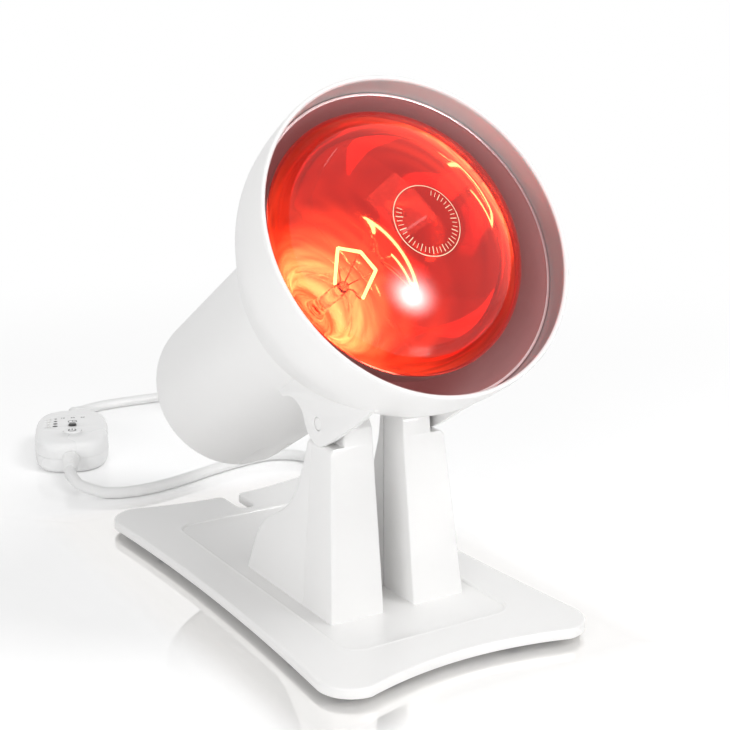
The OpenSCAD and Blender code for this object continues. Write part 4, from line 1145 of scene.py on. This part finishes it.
def screw_tree():
    """Geometry Nodes: cross-recessed screws standing on the points they are given."""
    name = "Cross recessed screws"
    if name in bpy.data.node_groups:
        return bpy.data.node_groups[name]
    tree, given, result = geometry_group(name, list(zip(SCREW, (0.0027, 0.0009, 0.0014, 0.004))))

    def cylinder(radius, depth):
        shape = add(tree, "GeometryNodeMeshCylinder",
                    {"Vertices": 32, "Radius": given[radius], "Depth": given[depth]})
        up = combined(tree, z=maths(tree, "MULTIPLY", given[depth], 0.5))
        return add(tree, "GeometryNodeTransform", {"Geometry": shape, "Translation": up})

    bars = []
    for shares in ((1.15, 0.28, 0.42), (0.28, 1.15, 0.42)):
        size = combined(tree, *(maths(tree, "MULTIPLY", given["Head radius"], f) for f in shares))
        bars.append(add(tree, "GeometryNodeMeshCube", {"Size": size}))
    cross = add(tree, "GeometryNodeJoinGeometry", {0: bars})
    head = add(tree, "GeometryNodeMeshBoolean", {"Mesh 1": cylinder("Head radius", "Head height"), "Mesh 2": cross},
               operation="DIFFERENCE")
    both = add(tree, "GeometryNodeJoinGeometry", {0: [head, cylinder("Shank radius", "Shank length")]})
    put = add(tree, "GeometryNodeInstanceOnPoints", {"Points": given["Geometry"], "Instance": both})
    deliver(tree, put, steel(), result)
    return tree


def screws(name, spots, lengths, node):
    """A set of screws of the base. lengths has the head's radius and height and the shank's radius and length."""
    obj = grown(name, screw_tree(), spots, values={k: v * MM for k, v in zip(SCREW, lengths)}, smooth_angle=30)
    finish_piece(obj, steel(), "base", "steel", node)


class HEATLAMP_OT_screws(bpy.types.Operator):
    """Cross-recessed screws under the base and under the control"""
    bl_idname = "heat_lamp.screws"
    bl_label = "Screws"

    def execute(self, context):
        cover = [(sx * x, y, PLATE_BOTTOM) for x, y in ((63, 75), (63, -75), (34, 117), (34, -116)) for sx in (1, -1)]
        screws("base_cover_screws", cover, (2.7, 0.9, 1.4, 4.1), "cover_screw_set")
        posts = [(sx * 23.5, y, PLATE_BOTTOM) for y in (-58, -30, -8) for sx in (1, -1)]
        screws("post_foot_screws", posts, (3.0, 0.9, 1.5, 13.6), "post_screw_set")
        case = [control_point(x, y, 0.4) for x, y in CASE_SCREWS]
        screws("control_case_screws", case, (2.5, 1.6, 1.2, 13.0), "control_screw_set")
        return {"FINISHED"}


# ---------------------------------------------------------------- timer control
CASE_SCREWS = [(sx * 15, sy * 30) for sx in (1, -1) for sy in (1, -1)]
CASE_WALL = 2.0
CASE_RISE = [(0.0, 10.06), (0.0, 14.5), (0.15, 16.0), (0.55, 17.4), (1.2, 18.5), (2.1, 19.3), (3.3, 19.8),
             (4.8, 20.0)]
CASE_FALL = [(4.0, 0.0), (2.6, 0.25), (1.4, 0.9), (0.6, 1.9), (0.15, 3.2), (0.0, 4.6), (0.0, 9.94)]
LIGHTS = [(-15.1, 18.0), (-15.1, 12.1), (-15.1, 6.2), (-15.1, 0.4)]
DOTS = [(-10.7, 18.0, 0.92), (-10.7, 12.1, 1.2), (-10.7, 6.2, 1.5), (-10.7, 0.4, 1.7)]
TIMER, POWER = (0.7, 1.5), (0.7, -11.9)
POWER_CAP = [(0, 15.2), (7, 15.2), (7, 16.2), (5.9, 16.2), (5.9, 20.2), (5.75, 20.45), (5.3, 20.58), (3, 20.5),
             (0, 20.45)]
TIMER_CAP = [(0, 15.2), (3.6, 15.2), (3.6, 16.2), (2.55, 16.2), (2.55, 20.8), (2.4, 21.05), (2.0, 21.18), (0, 21.2)]
CLOCK_AT, CLOCK_R, CLOCK_LINE = (0.55, 10.3), 3.1, 0.55
CLOCK_HANDS = [(0.3, 12.3), (0.3, 10.05), (2.2, 10.05), (2.2, 10.5), (0.75, 10.5), (0.75, 12.3)]
ARROW = [(0.35, 4.4), (0.75, 4.4), (0.75, 5.6), (1.4, 5.6), (0.55, 6.8), (-0.3, 5.6), (0.35, 5.6)]


def oval(d, steps=96):
    """The control's plan, a superellipse, moved inwards by d."""
    pts, e = [], 2 / 3.1
    for k in range(steps):
        c, s = polar(1, 2 * math.pi * k / steps)
        pts.append(Vector(((CONTROL_W / 2 - d) * math.copysign(abs(c) ** e, c),
                           (CONTROL_L / 2 - d) * math.copysign(abs(s) ** e, s))))
    return pts


def mark(loops, z0, z1):
    """A flat print of the control between two heights: its outline, and a hole where a second loop is given."""
    fills = [[(c, r) for c in range(len(loops))] for r in (0, 1)]
    return stacked("mark", [[at(loop, z0), at(loop, z1)] for loop in loops], fills, control_point, 0)


def ribs(count, first, pitch, r, taper, shape):
    """Outline of a relief's ribs. shape lists a rib's steps as depth below its radius and height above its foot."""
    return [(r - taper * k - d, first + k * pitch + h) for k in range(count) for d, h in shape]


class HEATLAMP_OT_control(bpy.types.Operator):
    """Timer control: two case shells, buttons, lights, plain prints and the two strain reliefs"""
    bl_idname = "heat_lamp.control"
    bl_label = "Timer control"

    def execute(self, context):
        white = plastic("Control plastic", colours().control, 0.24, 1500.0, 0.03)
        self.case(white)
        self.buttons(white)
        self.prints()
        self.reliefs()
        finish_nodes(plastic("Circuit board", (0.05, 0.22, 0.1), 0.35, 500.0, 0.1), "control_board")
        finish_nodes(plastic("Black parts", (0.03, 0.03, 0.03), 0.45, 700.0, 0.1),
                     "control_switches", "control_triac", "cord_tie")
        finish_nodes(plastic("Light lens", (0.62, 0.53, 0.36), 0.18, 500.0, 0.0), "control_leds")
        return {"FINISHED"}

    def case(self, white):
        inner, top, soft = oval(CASE_WALL), CONTROL_T, 0.25
        wall = [at(inner, top - CASE_WALL), at(inner, 10.06)] + [at(oval(d), z) for d, z in CASE_RISE]
        holes = [(x, y, 1.4) for x, y in LIGHTS] + [(*TIMER, 2.75), (*POWER, 6.15)]
        chains = [[at(circle(x, y, r + wider), top - down) for wider, down in
                   ((soft, 0), (0.07, 0.1), (0, soft), (0, CASE_WALL))] for x, y, r in holes]
        self.shell("control_upper_case", wall, chains, -1, 0, white, "control_top")
        wall = [at(oval(d), z) for d, z in CASE_FALL] + [at(inner, 9.94), at(inner, CASE_WALL)]
        chains = [[at(circle(x, y, 2.8), z) for z in (0.0, CASE_WALL)] for x, y in CASE_SCREWS]
        self.shell("control_lower_case", wall, chains, 0, -1, white, "control_bottom")

    def shell(self, name, wall, holes, face, inside, white, node):
        """One half of the case. face and inside say which ring of the wall bounds its outer and its inner side."""
        fills = [[(0, ring)] + [(i + 1, hole) for i in range(len(holes))] for ring, hole in ((face, 0), (inside, -1))]
        obj = stacked(name, [wall] + holes, fills, control_point, 40)
        finish_piece(obj, white, "base", "control_plastic", node)

    def buttons(self, white):
        def cap(name, profile, n, spot):
            return turned(name, profile, n, lambda x, y, z: control_point(x + spot[0], y + spot[1], z), 35)

        power = cap("power_button_cap", POWER_CAP, 72, POWER)
        finish_piece(power, white, "power_button", "control_plastic", "power_button")
        timer = cap("timer_button_cap", TIMER_CAP, 48, TIMER)
        black = plastic("Black button", (0.02, 0.02, 0.02), 0.25, 900.0, 0.03)
        finish_piece(timer, black, "timer_button", "black_plastic", "timer_button")

    def prints(self):
        """Plain marks: four dots, three numbers, clock, arrow and power symbol."""
        ink = plastic("Black ink", (0.015, 0.015, 0.016), 0.45, 900.0, 0.02)
        rise, top = sizes().print_rise / MM, CONTROL_T + 0.005
        loops = [[circle(*dot)] for dot in DOTS]
        loops += [[circle(*CLOCK_AT, CLOCK_R, 64), circle(*CLOCK_AT, CLOCK_R - CLOCK_LINE, 64)]]
        loops += [[[Vector(p) for p in shape]] for shape in (CLOCK_HANDS, ARROW)]
        parts = [mark(shape, top, top + rise) for shape in loops]
        parts += [self.number(text, x, 19.3, top, rise) for text, x in (("10", -6.1), ("30", 0.55), ("40", 7.2))]
        finish_piece(joined("control_prints", parts, 0), ink, "base", "black_plastic")
        z, (cx, cy) = 20.59, POWER
        arc = [[Vector(polar(r, a, cx, cy)) for a in angles(90 + 38, 450 - 38, 40)] for r in (2.7, 2.15)]
        bar = [Vector((cx + dx, cy + dy)) for dx, dy in ((-0.28, 0.2), (0.28, 0.2), (0.28, 3.1), (-0.28, 3.1))]
        parts = [mark([loop], z - 0.12, z + rise) for loop in (arc[0] + arc[1][::-1], bar)]
        finish_piece(joined("power_symbol", parts, 0), ink, "power_button", "black_plastic")

    def number(self, text, x, y, z, rise):
        font = bpy.data.curves.new("number", "FONT")
        font.body, font.size, font.align_x, font.align_y = text, 3.0, "CENTER", "CENTER"
        font.extrude, font.offset = rise / 2, 0.03
        obj = placed("number", font)
        bpy.context.view_layer.update()
        graph = bpy.context.evaluated_depsgraph_get()
        mesh = bpy.data.meshes.new_from_object(obj.evaluated_get(graph), depsgraph=graph)
        bpy.data.objects.remove(obj)
        verts = [(v.co.x + x, v.co.y + y, v.co.z + z + rise / 2) for v in mesh.vertices]
        faces = [list(p.vertices) for p in mesh.polygons]
        bpy.data.meshes.remove(mesh)
        return build("mark", verts, faces, control_point, 0)

    def reliefs(self):
        profile = [(0, -2.6), (5.4, -2.6), (5.4, -1.4), (4.2, -1.4), (4.2, 3.2), (5.3, 3.3), (5.6, 3.7), (5.6, 4.6)]
        profile += ribs(8, 5.0, 2.6, 5.5, 0.165, ((0, 0.2), (0, 1.5), (0.55, 1.7), (0.55, 2.4)))
        profile += [(4.1, 26.2), (3.9, 26.85), (3.6, 27), (0, 27)]
        for name, end in (("relief_lamp_side", -1), ("relief_mains_side", 1)):
            def place(x, y, z, end=end):
                return control_point(x * -end, end * RELIEF_START + end * z, CONTROL_T / 2 + y)
            finish_piece(turned(name + "_sleeve", profile, 48, place, 30), cord_jacket(), "base", "cord_pvc", name)


# ---------------------------------------------------------------- plug
PLUG_SECTIONS = ((-54, 19.4, 13.4), (-53.6, 20.6, 14.6), (-52.6, 21.4, 15.4), (-50, 22, 15.8), (-44, 22, 15.8),
                 (-40, 19.6, 15.0), (-34, 17.8, 14.2), (-30, 16.0, 13.4), (-28.6, 14.0, 13.0), (-28, 12.4, 12.4))
PLUG_TAIL = [(0, -0.5), (6.1, -0.5), (6.3, 0.6), (6.3, 3.4)] \
    + ribs(7, 4.2, 3.2, 5.9, 0.22, ((0, 0), (0, 1.9), (0.5, 2.1), (0.5, 2.9))) \
    + [(4.1, 27.2), (3.8, 27.9), (3.6, 28), (0, 28)]
BLADE = [(-3.2, 0), (3.2, 0), (3.2, -17), (-3.2, -17)]
BLADE_SLICES = ((-0.75, 0.94), (-0.55, 1.0), (0.55, 1.0), (0.75, 0.94))


class HEATLAMP_OT_plug(bpy.types.Operator):
    """Two-pin plug with its tapered tail, lying beside the coil"""
    bl_idname = "heat_lamp.plug"
    bl_label = "Plug"

    def execute(self, context):
        px, py, pz = PLUG_AXIS
        rings = [[(px + p.x, py + y, pz + p.y) for p in rounded_rect(w, h, min(w, h) * 0.32, 0, 0, 5)]
                 for y, w, h in PLUG_SECTIONS]
        body = loft("plug_block", rings, smooth_angle=40)
        tail = turned("plug_tail", PLUG_TAIL, 48, lambda x, y, z: (px - x, py - 28 + z, pz + y), 30)
        white = plastic("Plug plastic", colours().cord, 0.34, 1200.0, 0.05)
        finish_piece(joined("plug_moulding", [body, tail]), white, "base", "cord_pvc", "plug_body")
        outline = corner_points([Vector(p) for p in BLADE], [0, 0, 1.8, 1.8], 4)
        blades = []
        for x in (-6.35, 6.35):
            rings = [[(px + x + dx, py - 54 + p.y, pz + p.x * f) for p in outline] for dx, f in BLADE_SLICES]
            blades.append(loft("blade", rings, smooth_angle=30))
        finish_piece(joined("plug_pins", blades, 30), brass(), "base", "brass", "plug_blades")
        return {"FINISHED"}


# ---------------------------------------------------------------- panel and running order
OPERATORS = (HEATLAMP_OT_stage, HEATLAMP_OT_cords, HEATLAMP_OT_base, HEATLAMP_OT_posts, HEATLAMP_OT_housing,
             HEATLAMP_OT_yoke, HEATLAMP_OT_bulb, HEATLAMP_OT_lampholder, HEATLAMP_OT_screws, HEATLAMP_OT_control,
             HEATLAMP_OT_plug)


class HEATLAMP_PT_panel(bpy.types.Panel):
    """Lists the lamp's sizes, colours and pieces"""
    bl_idname = "HEATLAMP_PT_panel"
    bl_label = "Heat Lamp"
    bl_space_type = "VIEW_3D"
    bl_region_type = "UI"
    bl_category = "Heat Lamp"

    def draw(self, context):
        for owner in (context.scene.heat_lamp_sizes, context.scene.heat_lamp_colours):
            box = self.layout.box()
            for key in owner.bl_rna.properties.keys():
                if key not in ("rna_type", "name"):
                    box.prop(owner, key)
        for op in OPERATORS:
            self.layout.operator(op.bl_idname)


CLASSES = (LampSizes, LampColours, *OPERATORS, HEATLAMP_PT_panel)


def register():
    for c in CLASSES:
        bpy.utils.register_class(c)
    bpy.types.Scene.heat_lamp_sizes = PointerProperty(type=LampSizes)
    bpy.types.Scene.heat_lamp_colours = PointerProperty(type=LampColours)


def unregister():
    del bpy.types.Scene.heat_lamp_colours
    del bpy.types.Scene.heat_lamp_sizes
    for c in reversed(CLASSES):
        bpy.utils.unregister_class(c)


def main():
    register()
    for op in OPERATORS:
        name = op.bl_idname.split(".")[1]
        getattr(bpy.ops.heat_lamp, name)()


if __name__ == "__main__":
    main()
